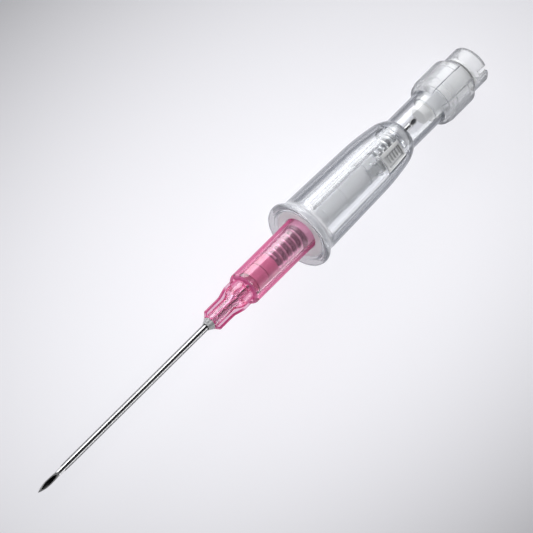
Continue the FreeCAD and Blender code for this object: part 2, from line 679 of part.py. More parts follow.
def make_latch_leaf():
    """Leaf on the saddle: its front hook holds the guard, the post rocks its rear."""
    half = LEAF_THICK / 2
    hook_x = CATCH_X + (CATCH_GROOVE - LEAF_THICK) / 2
    bend_x = hook_x + LEAF_THICK
    points = [
        (hook_x, GUARD_R - LEAF_BITE),
        (hook_x, leaf_r(hook_x) + half),
        (LEAF_REAR_X, leaf_r(LEAF_REAR_X) + half),
        (LEAF_REAR_X, leaf_r(LEAF_REAR_X) - half),
        (bend_x, leaf_r(bend_x) - half),
        (bend_x, GUARD_R - LEAF_BITE),
    ]
    return plate(points, LEAF_WIDTH, BUTTON_TURN)


def make_guard_sleeve():
    """Stepped frosted sleeve: hub plug, collar, running band and the catch groove."""
    edge = GUARD_EDGE
    plug_r = luer_r(GUARD_FRONT_X) - RUN_GAP
    collar_x = HUB_REAR_X + FACE_GAP
    collar_end = collar_x + GUARD_COLLAR
    collar_r = GUARD_R + GUARD_COLLAR_RISE
    step_x = GUARD_FRONT_X + GUARD_STEP_START
    band_x = GUARD_FRONT_X + GUARD_BAND_START
    band_end = band_x + GUARD_BAND
    groove_end = CATCH_X + CATCH_GROOVE
    groove_r = GUARD_R - CATCH_DEPTH
    washer_x = GUARD_REAR_X - WASHER_THICK
    wall_x = GUARD_FRONT_X + GUARD_NOSE_WALL
    outline = Outline(GUARD_FRONT_X, SLIDE_BORE_R).line(GUARD_FRONT_X, plug_r - edge)
    outline.line(GUARD_FRONT_X + edge, plug_r).line(collar_x, plug_r)
    outline.line(collar_x, collar_r).line(collar_end, collar_r)
    outline.line(collar_end, GUARD_R - GUARD_STEP).line(step_x, GUARD_R - GUARD_STEP)
    outline.line(step_x + edge, GUARD_R).line(band_x - edge, GUARD_R)
    outline.line(band_x, GUARD_BAND_R).line(band_end, GUARD_BAND_R)
    outline.line(band_end + edge, GUARD_R).line(CATCH_X, GUARD_R)
    outline.line(CATCH_X, groove_r).line(groove_end, groove_r).line(groove_end, GUARD_R)
    outline.line(GUARD_REAR_X - edge, GUARD_R).line(GUARD_REAR_X, GUARD_R - edge)
    outline.line(GUARD_REAR_X, WASHER_R + SEAT_GAP).line(washer_x, WASHER_R + SEAT_GAP)
    outline.line(washer_x, GUARD_CAVITY_R).line(wall_x + GUARD_NOSE_WALL / 2, GUARD_CAVITY_R)
    outline.line(wall_x, SLIDE_BORE_R)
    return outline.turned()


def make_guard_washer():
    """Closes the back of the guard and runs on the needle."""
    return pipe(GUARD_REAR_X - WASHER_THICK, GUARD_REAR_X, WASHER_R, SLIDE_BORE_R)


def make_tip_clip():
    """Steel strip clip in the guard: a base the needle passes and one long arm."""
    front = GUARD_FRONT_X + CLIP_START
    base_x = front + CLIP_LENGTH
    side = math.sqrt((GUARD_CAVITY_R - RUN_GAP) ** 2 - (CLIP_WIDTH / 2) ** 2)
    low = SLIDE_BORE_R
    thick = CLIP_THICK
    flat_x = front + CLIP_TOE + CLIP_FLAT
    base = block(base_x - thick, base_x, -CLIP_WIDTH / 2, CLIP_WIDTH / 2, -side, side)
    base = base.cut(rod(base_x - 1, base_x + 1, SLIDE_BORE_R))
    arm = plate([
        (base_x, side),
        (base_x - thick, side),
        (flat_x, low + thick),
        (front + CLIP_TOE + thick, low + thick),
        (front + thick, low + CLIP_TOE + thick / 2),
        (front, low + CLIP_TOE),
        (front + CLIP_TOE, low),
        (flat_x, low),
        (base_x - thick, side - thick),
        (base_x, side - thick),
    ], CLIP_WIDTH)
    return base.fuse(arm).removeSplitter()


def make_kick_spring():
    return coil(GUARD_REAR_X + FACE_GAP, CHAMBER_FRONT_X - BUSHING_SKIRT - FACE_GAP,
                KICK_R, KICK_WIRE_R, KICK_TURNS)


def make_flash_chamber():
    """Clear neck tube with a floor for the bushing and a ring inside the barrel."""
    ring_end = CHAMBER_FRONT_X + CHAMBER_RING
    floor_end = CHAMBER_FRONT_X + CHAMBER_FLOOR
    outline = Outline(CHAMBER_FRONT_X, BUSHING_R + SEAT_GAP).line(CHAMBER_FRONT_X, CHAMBER_RING_R)
    outline.line(ring_end, CHAMBER_RING_R).line(ring_end, CHAMBER_R)
    outline.line(CHAMBER_REAR_X - CAP_EDGE, CHAMBER_R).line(CHAMBER_REAR_X, CHAMBER_R - CAP_EDGE)
    outline.line(CHAMBER_REAR_X, CHAMBER_BORE_R).line(floor_end, CHAMBER_BORE_R)
    outline.line(floor_end, BUSHING_R + SEAT_GAP)
    return outline.turned()


def make_needle_bushing():
    """Grey bushing glued round the needle in the floor of the chamber."""
    front = CHAMBER_FRONT_X - BUSHING_SKIRT
    rear = CHAMBER_FRONT_X + CHAMBER_FLOOR
    bore = NEEDLE_R + SEAT_GAP / 2
    edge = BUSHING_EDGE
    outline = Outline(front, bore).line(front, BUSHING_R - edge).line(front + edge, BUSHING_R)
    outline.line(rear - edge, BUSHING_R).line(rear, BUSHING_R - edge).line(rear, bore)
    return outline.turned()


def make_cap_wings():
    """The two grip wings, hollow shells open at the top and the bottom."""
    front_low = WING_R - WING_DROP
    root_r = CAP_R - CAP_EDGE
    inner_r = WING_R - WING_WALL
    wall_x = WING_REAR_X - WING_REAR_ROUND - WING_WALL
    full_x = WING_FRONT_X + WING_FRONT_ROUND
    outline = Outline(WING_FRONT_X, front_low)
    outline.arc(WING_FRONT_X + WING_FRONT_ROUND * ROUND_KNEE, WING_R - WING_DROP * ROUND_KNEE,
                full_x, WING_R)
    outline.line(WING_REAR_X - WING_REAR_ROUND, WING_R)
    outline.arc(WING_REAR_X - WING_REAR_ROUND * ROUND_KNEE, WING_R - (WING_R - root_r) * ROUND_KNEE,
                WING_REAR_X, root_r)
    outline.line(wall_x, root_r).line(wall_x, inner_r).line(full_x, inner_r)
    outline.line(WING_FRONT_X + WING_WALL, front_low)
    span = 180.0 - 2 * WING_GAP_ANGLE
    return [outline.turned(span, WING_GAP_ANGLE + i * 180.0) for i in range(2)]


def make_vent_cap():
    """Clear cap: plug for the chamber, grip wings and a deep rear well with a notch."""
    plug_r = CHAMBER_BORE_R - RUN_GAP
    edge = CAP_EDGE
    knee = CAP_REAR_ROUND * ROUND_KNEE
    outline = Outline(CAP_NOSE_X, CAP_BORE_R).line(CAP_NOSE_X, plug_r - edge)
    outline.line(CAP_NOSE_X + 2 * edge, plug_r).line(CAP_FRONT_X, plug_r)
    outline.line(CAP_FRONT_X, CHAMBER_R).line(CAP_SHOULDER_X, CHAMBER_R)
    outline.line(CAP_SHOULDER_X, CAP_R - edge).line(CAP_SHOULDER_X + edge, CAP_R)
    outline.line(CAP_REAR_X - CAP_REAR_ROUND, CAP_R)
    outline.arc(CAP_REAR_X - knee, CAP_R - knee, CAP_REAR_X, CAP_R - CAP_REAR_ROUND)
    outline.line(CAP_REAR_X, CAP_WELL_R).line(CAP_WELL_X, CAP_WELL_R).line(CAP_WELL_X, CAP_BORE_R)
    cap = outline.turned()
    for wing in make_cap_wings():
        cap = cap.fuse(wing)
    notch = block(CAP_REAR_X - NOTCH_DEPTH, CAP_REAR_X + 1, -NOTCH_WIDTH / 2, NOTCH_WIDTH / 2,
                  CAP_WELL_R / 2, WING_R, NOTCH_TURN)
    return cap.cut(notch).removeSplitter()


def make_vent_plug():
    """Frosted porous plug, with a narrow nose and ring grooves."""
    body_r = CAP_BORE_R - SEAT_GAP
    edge = PLUG_EDGE
    outline = Outline(PLUG_NOSE_X, 0).line(PLUG_NOSE_X, PLUG_NOSE_R - edge)
    outline.line(PLUG_NOSE_X + edge, PLUG_NOSE_R).line(CAP_NOSE_X - edge, PLUG_NOSE_R)
    outline.line(CAP_NOSE_X, body_r)
    for i in range(1, PLUG_RINGS + 1):
        groove = CAP_NOSE_X + i * PLUG_RING_PITCH
        outline.line(groove, body_r).line(groove + edge / 2, body_r - edge)
        outline.line(groove + edge, body_r)
    outline.line(CAP_WELL_X, body_r).line(CAP_WELL_X, 0)
    return outline.turned()


def make_vent_filter():
    return rod(CAP_WELL_X, CAP_WELL_X + FILTER_THICK, CAP_WELL_R - SEAT_GAP)


PIECES = {
    "barrel": make_barrel,
    "front_bush": make_front_bush,
    "needle": make_needle,
    "needle_bushing": make_needle_bushing,
    "flash_chamber": make_flash_chamber,
    "kick_spring": make_kick_spring,
    "latch_leaf": make_latch_leaf,
    "release_button": make_release_button,
    "guard_sleeve": make_guard_sleeve,
    "guard_washer": make_guard_washer,
    "tip_clip": make_tip_clip,
    "catheter_hub": make_catheter_hub,
    "catheter_tube": make_catheter_tube,
    "tube_eyelet": make_tube_eyelet,
    "nose_ferrule": make_nose_ferrule,
    "septum": make_septum,
    "valve_spring": make_valve_spring,
    "valve_opener": make_valve_opener,
    "vent_cap": make_vent_cap,
    "vent_plug": make_vent_plug,
    "vent_filter": make_vent_filter,
}

for name, make in PIECES.items():
    shape = make()
    box = shape.BoundBox
    print(f"{name:15s} solids {len(shape.Solids)} valid {shape.isValid()} volume {shape.Volume:8.3f}"
          f" x {box.XMin:7.2f} {box.XMax:7.2f} z {box.ZMin:6.2f} {box.ZMax:6.2f}")
    shape.exportStep(f"parts/{name}.step")
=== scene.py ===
# %% [markdown]
# # Dressing a peripheral iv cannula
# The object is a steel needle inside a soft clear tube, held by a pink finned hub. Behind
# it sits a clear flanged grip with a frosted tip guard, a spring and a ribbed button in
# it, then a clear flash chamber closed by a vented cap. Almost every piece is a turned
# shape, so most of this lesson is about profiles carried round one axis, and about clear
# plastic, which shows its form only by what it bends and mirrors.

# %% Load the frame
import bpy
import json
import math
import numpy as np
from mathutils import Matrix, Vector

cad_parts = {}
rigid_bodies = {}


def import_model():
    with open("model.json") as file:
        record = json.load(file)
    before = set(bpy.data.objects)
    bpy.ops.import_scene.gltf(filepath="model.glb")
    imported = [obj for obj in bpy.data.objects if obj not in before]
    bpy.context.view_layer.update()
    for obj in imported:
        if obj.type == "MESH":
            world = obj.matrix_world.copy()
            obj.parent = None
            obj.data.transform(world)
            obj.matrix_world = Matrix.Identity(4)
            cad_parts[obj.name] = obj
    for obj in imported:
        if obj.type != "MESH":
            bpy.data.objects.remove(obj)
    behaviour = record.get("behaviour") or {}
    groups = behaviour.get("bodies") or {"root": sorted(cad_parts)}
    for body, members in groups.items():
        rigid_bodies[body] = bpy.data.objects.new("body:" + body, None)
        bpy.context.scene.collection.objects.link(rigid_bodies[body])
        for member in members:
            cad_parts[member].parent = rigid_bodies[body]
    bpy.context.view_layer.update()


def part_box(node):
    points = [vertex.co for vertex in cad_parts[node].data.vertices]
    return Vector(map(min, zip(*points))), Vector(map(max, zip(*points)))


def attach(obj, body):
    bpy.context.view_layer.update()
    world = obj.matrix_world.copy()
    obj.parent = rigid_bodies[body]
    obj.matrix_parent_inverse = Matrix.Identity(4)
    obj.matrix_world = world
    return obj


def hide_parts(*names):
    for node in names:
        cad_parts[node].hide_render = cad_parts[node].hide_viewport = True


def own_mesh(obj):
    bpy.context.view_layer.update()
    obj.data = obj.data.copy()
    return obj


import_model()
MM = 0.001

# %% [markdown]
# ## Places taken from the frame
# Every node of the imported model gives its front, its rear and its radius. The new pieces
# are worked out from those, in millimetres along the needle's axis, so a longer hub or a
# wider flange in the model moves the dressing with it.

# %% Read fronts, rears and radii
def reach(node):
    """Front x, rear x and outer radius of a node, in millimetres."""
    low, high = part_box(node)
    return low.x / MM, high.x / MM, high.y / MM


NEEDLE_TIP, NEEDLE_REAR, NEEDLE_R = reach("needle")
TUBE_TIP, TUBE_REAR, _ = reach("catheter_tube")
FERRULE_FRONT, FERRULE_REAR, FERRULE_R = reach("nose_ferrule")
HUB_NOSE, HUB_REAR, _ = reach("catheter_hub")
SEPTUM_FRONT, SEPTUM_REAR, _ = reach("septum")
VALVE_FRONT, VALVE_REAR, _ = reach("valve_spring")
OPENER_FRONT, OPENER_REAR, _ = reach("valve_opener")
GUARD_FRONT, GUARD_REAR, GUARD_COLLAR_R = reach("guard_sleeve")
FLANGE_X, BARREL_END, FLANGE_R = reach("barrel")
BUSH_FRONT, BUSH_REAR, BUSH_R = reach("front_bush")
KICK_FRONT, KICK_REAR, _ = reach("kick_spring")
CHAMBER_FRONT, CHAMBER_REAR, CHAMBER_RING_R = reach("flash_chamber")
BUSHING_FRONT, BUSHING_REAR, BUSHING_R = reach("needle_bushing")
CAP_NOSE, CAP_REAR, WING_R = reach("vent_cap")
PLUG_NOSE, PLUG_REAR, PLUG_R = reach("vent_plug")
print("needle", NEEDLE_TIP, NEEDLE_REAR, "barrel", FLANGE_X, BARREL_END, "cap", CAP_REAR)

# %% [markdown]
# ## From numbers to a mesh
# A shape here is a grid: one parameter runs along a profile and the other round the axis.
# It could be modelled by hand from a cylinder, but a grid worked out as whole arrays keeps
# each radius exact and each pole closed. `lathe` carries a closed profile round X. `walled`
# joins an outer and an inner surface and closes every edge where cells are left out, which
# is how the window, the wings and the notch are opened.

# %% Profiles with round corners
ARC_POINTS = 7


def rounded(corners, closed=True):
    """Profile of (x, radius) whose corners are (x, radius, fillet).

    At each corner the two edges' unit vectors give half the angle between them. The arc's
    centre lies on their bisector at fillet / sin(half), it touches the edges at
    fillet / tan(half), and its points are the slerp between the two touching spokes.
    """
    c = np.array(corners, float)
    p, fillet = c[:, :2], c[:, 2]
    a = np.roll(p, 1, 0) - p
    b = np.roll(p, -1, 0) - p
    a /= np.linalg.norm(a, axis=1)[:, None]
    b /= np.linalg.norm(b, axis=1)[:, None]
    half = np.arccos(np.clip((a * b).sum(1), -1, 1)) / 2
    if not closed:
        fillet[[0, -1]] = 0
    flat = (fillet <= 0) | (half > math.pi / 2 - 1e-3)
    size = np.where(flat, 0, fillet)
    bisector = a + b
    bisector /= np.maximum(np.linalg.norm(bisector, axis=1), 1e-9)[:, None]
    centre = p + bisector * (size / np.sin(half))[:, None]
    touch = (size / np.tan(half))[:, None]
    first, last = p + a * touch - centre, p + b * touch - centre
    sweep = np.where(flat, 1.0, math.pi - 2 * half)[:, None, None]
    s = np.linspace(0, 1, ARC_POINTS)[None, :, None]
    arc = np.sin((1 - s) * sweep) * first[:, None] + np.sin(s * sweep) * last[:, None]
    arc = arc / np.sin(sweep)
    points = np.where(flat[:, None, None], p[:, None], centre[:, None] + arc).reshape(-1, 2)
    keep = np.linalg.norm(points - np.roll(points, 1, 0), axis=1) > 1e-6
    if not closed:
        keep[0] = True
    return points[keep]


# %% Surfaces and pieces
ROUND = 128


def ring_angles(count=ROUND):
    return np.arange(count) * 2 * math.pi / count


def grid(x, y, z):
    """Grid of points from coordinates that may each lack one of its directions."""
    return np.stack(np.broadcast_arrays(x, y, z), axis=-1)


def turned(x, r, angles):
    """Grid of points at places x, one radius or a row of radii each, by angle from +Z to +Y."""
    return grid(x[:, None], r * np.sin(angles), r * np.cos(angles))


def curve(x, r):
    """Profile of (x, radius) from two rows of numbers."""
    return np.stack([x, r], axis=-1)


def around(profile, angles):
    """Grid of points: each (x, r) of the profile at each angle."""
    return turned(profile[:, 0], profile[:, 1, None], angles)


def quads(rows, columns, wrap_rows, wrap_columns):
    """Faces (i,j) (i+1,j) (i+1,j+1) (i,j+1) of a grid that may close on itself."""
    i = np.arange(rows if wrap_rows else rows - 1)[:, None]
    j = np.arange(columns if wrap_columns else columns - 1)[None, :]
    i2, j2 = (i + 1) % rows, (j + 1) % columns
    cell = [i * columns + j, i2 * columns + j, i2 * columns + j2, i * columns + j2]
    return np.stack(cell, axis=-1).reshape(-1, 4)


def capped(rings, first_pole, last_pole):
    """A tube of rings closed by a fan of triangles from a pole at each end."""
    rows, columns = rings.shape[:2]
    j = np.arange(columns)
    j2, last, pole = (j + 1) % columns, (rows - 1) * columns, np.full_like(j, rows * columns)
    fans = [np.stack([j, j2, pole, pole], axis=-1),
            np.stack([last + j2, last + j, pole + 1, pole + 1], axis=-1)]
    return (np.vstack([rings.reshape(-1, 3), [first_pole], [last_pole]]),
            np.vstack([quads(rows, columns, False, True), *fans]))


def lathe(profile, angles=None):
    """Closed profile turned about X. Its first and last points may be poles on the axis."""
    angles = ring_angles() if angles is None else angles
    if profile[0, 1] < 1e-6:
        return capped(around(profile[1:-1], angles), (profile[0, 0], 0, 0), (profile[-1, 0], 0, 0))
    return around(profile, angles).reshape(-1, 3), quads(len(profile), len(angles), True, True)


def walled(outer, inner, keep=None, wrap=True):
    """Two matching grids as the outside and inside of one closed wall.

    Cells where keep is false are left out. Wherever a kept cell meets a missing one, or the
    grid ends, a quad joins the outside edge to the inside edge.
    """
    rows, columns = outer.shape[:2]
    cells = (rows - 1, columns if wrap else columns - 1)
    keep = np.ones(cells, bool) if keep is None else keep
    span = rows * columns
    number = np.arange(span).reshape(rows, columns)
    ahead = np.roll(number, -1, 1)[:, :cells[1]]
    here = number[:, :cells[1]]
    o = np.stack([here[:-1], here[1:], ahead[1:], ahead[:-1]], axis=-1)[keep]
    faces = [o, o[:, ::-1] + span]

    def add_edges(edge, p, q):
        p, q = p[edge], q[edge]
        faces.append(np.stack([p, q, q + span, p + span], axis=-1))

    stacked = np.pad(keep, ((1, 1), (0, 0)))
    add_edges(stacked[1:] & ~stacked[:-1], here, ahead)
    add_edges(stacked[:-1] & ~stacked[1:], ahead, here)
    if wrap:
        before, after = np.roll(keep, 1, 1), keep
    else:
        side = np.pad(keep, ((0, 0), (1, 1)))
        before, after = side[:, :-1], side[:, 1:]
    add_edges(after & ~before, number[1:], number[:-1])
    add_edges(before & ~after, number[:-1], number[1:])
    faces = np.vstack(faces)
    used, renumbered = np.unique(faces, return_inverse=True)
    points = np.concatenate([outer.reshape(-1, 3), inner.reshape(-1, 3)])[used]
    return points, renumbered.reshape(faces.shape)


def joined(parts):
    """Several (points, faces) as one."""
    starts = np.cumsum([0] + [len(points) for points, _ in parts[:-1]])
    return (np.vstack([points for points, _ in parts]),
            np.vstack([faces + start for (_, faces), start in zip(parts, starts)]))


def placed(name, data):
    """A new object of the scene."""
    thing = bpy.data.objects.new(name, data)
    bpy.context.scene.collection.objects.link(thing)
    return thing


def piece(name, shape, body, slot, node=None, crease=40, finish=None):
    """Mesh object in metres at the origin, smooth up to the crease angle, riding on a body.

    It takes its slot's finish, or another one that is named here.
    """
    points, faces = shape
    mesh = bpy.data.meshes.new(name)
    rows = [f[:3] if f[2] == f[3] else f for f in faces.tolist()]
    mesh.from_pydata((points * MM).tolist(), [], rows)
    mesh.validate()
    mesh.set_sharp_from_angle(angle=math.radians(crease))
    thing = placed(name, mesh)
    thing["finish"] = finish or slot
    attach(thing, body)
    if node:
        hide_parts(node)
    print(f"{name}: {len(rows)} faces")
    return thing


# %% [markdown]
# ## The needle
# A steel hypodermic is drawn tube, ground at an angle and then given two small side facets
# so that the point cuts. A boolean could do the grinding, but it leaves ragged triangles.
# Here the start of the tube is a function of the angle: the furthest back of the three
# grinding planes. The outside and the inside share that rule with their own radii.

# %% Ground needle tube
NEEDLE_BORE = 0.30
BEVEL, REAR_BEVEL = 4.7, 2.3
LANCET_SLOPE, LANCET_TURN = math.radians(17), math.radians(38)


def needle_side(radius, angles):
    """Tube wall between the ground point and the ground rear.

    For a spoke (y, z) the point starts at the largest of the bevel plane's x and the two
    lancet planes' x, and the rear ends on one sloping plane.
    """
    y, z = radius * np.sin(angles), radius * np.cos(angles)
    height = z + NEEDLE_R
    start = NEEDLE_TIP + height * BEVEL / (2 * NEEDLE_R)
    for turn in (LANCET_TURN, -LANCET_TURN):
        lean = y * math.sin(turn) + height * math.cos(turn)
        start = np.maximum(start, NEEDLE_TIP + lean / math.tan(LANCET_SLOPE))
    end = NEEDLE_REAR - height * REAR_BEVEL / (2 * NEEDLE_R)
    share = np.array([0, 0.004, 0.02, 0.06, 0.3, 0.6, 0.9, 0.98, 1.0])[:, None]
    return grid(start + (end - start) * share, y, z)


spokes = ring_angles(96)
needle_sides = [needle_side(radius, spokes) for radius in (NEEDLE_R, NEEDLE_BORE)]
piece("needle_tube", walled(*needle_sides), "grip", "steel", "needle", crease=25)

# %% [markdown]
# ## The soft tube and its ferrule
# The part that stays in the vein is a thin clear tube drawn over the needle, narrowed at
# its tip so that it follows the point through the skin, and belled over a steel funnel in
# the hub. A small grey ferrule guards the place where it leaves the hub.

# %% Soft tube, ferrule
TUBE_BORE, TUBE_R, BELL_R, BELL_BORE = 0.47, 0.55, 0.67, 0.59
BELL_FRONT, BELL_START = 3.5, 4.13
piece("soft_tube_skin", lathe(rounded([
    (TUBE_TIP, TUBE_BORE, 0.005), (TUBE_TIP, TUBE_BORE + 0.035, 0.012),
    (TUBE_TIP + 2.0, TUBE_R, 0.5), (BELL_FRONT, TUBE_R, 0.2), (BELL_START, BELL_R, 0.2),
    (TUBE_REAR, BELL_R, 0.01), (TUBE_REAR, BELL_BORE, 0.01), (BELL_START, BELL_BORE, 0.1),
    (BELL_FRONT, TUBE_BORE, 0.1)]), ring_angles(64)),
    "catheter", "soft_tube", "catheter_tube")

SPIGOT_R, FERRULE_BORE = 0.84, 0.57
piece("nose_ferrule_ring", lathe(rounded([
    (FERRULE_FRONT, FERRULE_BORE, 0), (FERRULE_FRONT, FERRULE_BORE + 0.04, 0.01),
    (HUB_NOSE - 0.10, FERRULE_R, 0.06), (HUB_NOSE, FERRULE_R, 0.02), (HUB_NOSE, SPIGOT_R, 0),
    (FERRULE_REAR, SPIGOT_R, 0.03), (FERRULE_REAR, FERRULE_BORE, 0)]), ring_angles(96)),
    "catheter", "grey_plastic", "nose_ferrule")

# %% [markdown]
# ## The pink hub
# The hub is moulded in one piece: a narrow nose with four fins for the fingers, a flare, a
# rounded step and a long body with a tapered socket inside. Its outside is written as a
# radius that depends on the place along the axis and on the angle. A fin of constant width
# has the radius half-width / sin(angle from its plane), cut off at its crest, and a soft
# maximum of the nose and the fin leaves the small fillet that moulding leaves.

# %% Hub outline
NOSE_R, WAIST_R, HUB_R = 1.11, 1.91, 2.72
NECK_X, WAIST_X, STEP_X = HUB_NOSE + 4.7, HUB_NOSE + 6.75, HUB_NOSE + 8.15
STEP_ROUND = 0.55
FIN_HALF, FIN_LOW, FIN_HIGH = 0.30, 1.81, 2.26
FILLET = 0.05


def smooth_step(t):
    t = np.clip(t, 0, 1)
    return t * t * (3 - 2 * t)


def soft_max(a, b, size):
    """The larger of two values, with a round fillet of about that size where they cross."""
    gap = np.clip(0.5 + (a - b) / (2 * size), 0, 1)
    return b + (a - b) * gap + size * gap * (1 - gap)


def hub_outside(x, angles):
    """Radius: nose, cosine flare, waist, quarter-round step and body, with four fins."""
    flare = smooth_step((x - NECK_X) / (WAIST_X - NECK_X))
    core = NOSE_R + (WAIST_R - NOSE_R) * flare
    turn = np.clip((x - STEP_X) / STEP_ROUND, 0, 1)
    step = HUB_R - STEP_ROUND + STEP_ROUND * np.sqrt(1 - (1 - turn) ** 2)
    core = np.where(x >= STEP_X, step, core)
    crest = np.interp(x, [HUB_NOSE, HUB_NOSE + 0.75, HUB_NOSE + 4.1, HUB_NOSE + 6.0, HUB_REAR],
                      [NOSE_R, FIN_LOW, FIN_LOW, FIN_HIGH, FIN_HIGH])
    quarter = math.pi / 2
    off = np.abs((angles + quarter / 2) % quarter - quarter / 2)
    side = FIN_HALF / np.maximum(np.sin(off), 1e-3)
    crest = crest[:, None] - 0.16 * np.clip(off / np.arcsin(FIN_HALF / FIN_LOW), 0, 1) ** 4
    fin = np.minimum(crest, side[None, :])
    return soft_max(fin, core[:, None], FILLET)


fine = np.concatenate([np.linspace(-45, -18, 6, endpoint=False), np.linspace(-18, 18, 31)[:-1],
                       np.linspace(18, 45, 6, endpoint=False)])
hub_angles = np.radians(np.concatenate([fine + 90 * k for k in range(4)]))
stations = np.unique(np.concatenate([
    np.linspace(HUB_NOSE, HUB_NOSE + 0.9, 12), np.linspace(HUB_NOSE + 0.9, NECK_X - 0.5, 6),
    np.linspace(NECK_X - 0.5, WAIST_X, 28), np.linspace(WAIST_X, STEP_X - 1e-4, 8),
    STEP_X + STEP_ROUND * (1 - np.cos(np.linspace(0, math.pi / 2, 10))),
    np.linspace(STEP_X + STEP_ROUND, HUB_REAR - 0.12, 12)]))
shell_r = hub_outside(stations, hub_angles)
outside = turned(stations, shell_r, hub_angles)
LUER_MOUTH, LUER_SLOPE = 2.165, 0.03
EYELET_REAR, THROAT_R, SOCKET_BASE = 6.85, 0.72, SEPTUM_FRONT


def luer_r(x):
    """Radius of the hub's tapered socket at x."""
    return LUER_MOUTH - LUER_SLOPE * (HUB_REAR - x)


socket_r = luer_r(SOCKET_BASE)
bore = rounded([
    (HUB_NOSE, 0.86, 0), (FERRULE_REAR, 0.86, 0.03), (FERRULE_REAR, 0.69, 0.03),
    (TUBE_REAR, 0.69, 0.1), (EYELET_REAR, 1.0, 0.05), (EYELET_REAR + 0.02, THROAT_R, 0.02),
    (SOCKET_BASE - 1.2, THROAT_R, 0.3),
    (SOCKET_BASE, socket_r - 0.35, 0.05), (SOCKET_BASE, socket_r, 0.08),
    (HUB_REAR - 0.16, LUER_MOUTH - 0.005, 0.1), (HUB_REAR, LUER_MOUTH + 0.16, 0),
    (HUB_REAR, HUB_R - 0.10, 0.05), (HUB_REAR - 0.12, HUB_R, 0)], closed=False)
hub_rows = np.concatenate([outside, around(bore[::-1], hub_angles)])
piece("hub_shell", (hub_rows.reshape(-1, 3), quads(*hub_rows.shape[:2], True, True)),
      "catheter", "pink_plastic", "catheter_hub", crease=38)

# %% [markdown]
# ## The valve inside the hub
# A soft septum seals round the needle. Behind it a small spring returns the clear tube that
# a syringe tip pushes through the septum. The spring is a circle carried along a helix:
# each ring of the wire stands square to the path, in a frame made of the path's own
# direction and the spoke to the axis. The spring and the septum get meshes of their own.

# %% Springs
def coil(x0, x1, outer_r, wire_r, turns, closed_turns=0.6, per_turn=48, sides=12):
    """Wire of wire_r on a helix about X.

    The axial share of the path is a smooth ramp whose ends are flat, as the closed end
    turns of a real spring. Ring = centre + wire_r (cos p * spoke + sin p * binormal).
    """
    t = np.linspace(0, 1, int(turns * per_turn) + 1)
    closed = closed_turns / turns
    advance = np.clip((t - closed / 2) / (1 - closed), 0, 1)
    advance = 0.12 * t + 0.88 * advance
    x = x0 + wire_r + (x1 - x0 - 2 * wire_r) * advance
    a = 2 * math.pi * turns * t
    mid = outer_r - wire_r
    spoke = np.stack([np.zeros_like(a), np.sin(a), np.cos(a)], axis=-1)
    path = spoke * mid + np.stack([x, 0 * x, 0 * x], axis=-1)
    along = np.gradient(path, axis=0)
    along /= np.linalg.norm(along, axis=1)[:, None]
    binormal = np.cross(along, spoke)
    p = np.arange(sides) * 2 * math.pi / sides
    ring = np.cos(p)[:, None] * spoke[:, None] + np.sin(p)[:, None] * binormal[:, None]
    return capped(path[:, None] + wire_r * ring, path[0], path[-1])


def flattened(thing):
    """Gives a soft piece a mesh of its own."""
    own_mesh(thing)


COIL_R, VALVE_STROKE = 1.85, 3.2
valve = piece("valve_coil", coil(VALVE_FRONT, VALVE_REAR, COIL_R, wire_r=0.16, turns=5.5),
              "catheter", "spring_steel", "valve_spring", crease=70, finish="wire_steel")
piece("kick_coil", coil(KICK_FRONT, KICK_REAR, COIL_R, wire_r=0.19, turns=4.4),
      "grip", "spring_steel", "kick_spring", crease=70, finish="wire_steel")
flattened(valve)

# %% Septum and opener tube
PRESS, NEEDLE_HOLE = 0.02, 0.46
GROOVE_HALF, GROOVE_DEEP = 0.11, 0.42
OPENER_R, OPENER_BORE, OPENER_COLLAR, COLLAR = 1.25, 0.80, 1.93, 0.5
middle = (SEPTUM_FRONT + SEPTUM_REAR) / 2
front_r, middle_r, rear_r = (luer_r(x) - PRESS for x in (SEPTUM_FRONT, middle, SEPTUM_REAR))
septum = piece("septum_block", lathe(rounded([
    (SEPTUM_FRONT, NEEDLE_HOLE, 0), (SEPTUM_FRONT, front_r, 0.12),
    (middle - GROOVE_HALF, middle_r, 0.04), (middle - GROOVE_HALF, middle_r - GROOVE_DEEP, 0.04),
    (middle + GROOVE_HALF, middle_r - GROOVE_DEEP, 0.04), (middle + GROOVE_HALF, middle_r, 0.04),
    (SEPTUM_REAR, rear_r, 0.12), (SEPTUM_REAR, OPENER_R, 0.05),
    (SEPTUM_REAR - 0.6, NEEDLE_HOLE, 0)])), "catheter", "septum_rubber", "septum")
flattened(septum)
# The opener tube takes a dark grey finish of painted shade.
piece("opener_tube", lathe(rounded([
    (OPENER_FRONT, OPENER_BORE, 0), (OPENER_FRONT, 0.98, 0.05), (OPENER_FRONT + 1.2, OPENER_R, 0.3),
    (OPENER_REAR - COLLAR, OPENER_R, 0.08), (OPENER_REAR - COLLAR, OPENER_COLLAR, 0.05),
    (OPENER_REAR, OPENER_COLLAR, 0.05), (OPENER_REAR, 1.02, 0.03),
    (OPENER_REAR - COLLAR, OPENER_BORE, 0.1)])),
    "opener", "clear_plastic", "valve_opener", finish="opener_painted_shade")

# %% [markdown]
# ## The frosted guard
# The guard is a stepped sleeve that slides forward over the point when the needle is drawn
# out. Its nose plugs into the hub, a collar seats on the hub's rear edge, and a wider band
# runs in the grip. The bush in the dish of the flange is moulded in the same frosted
# plastic.

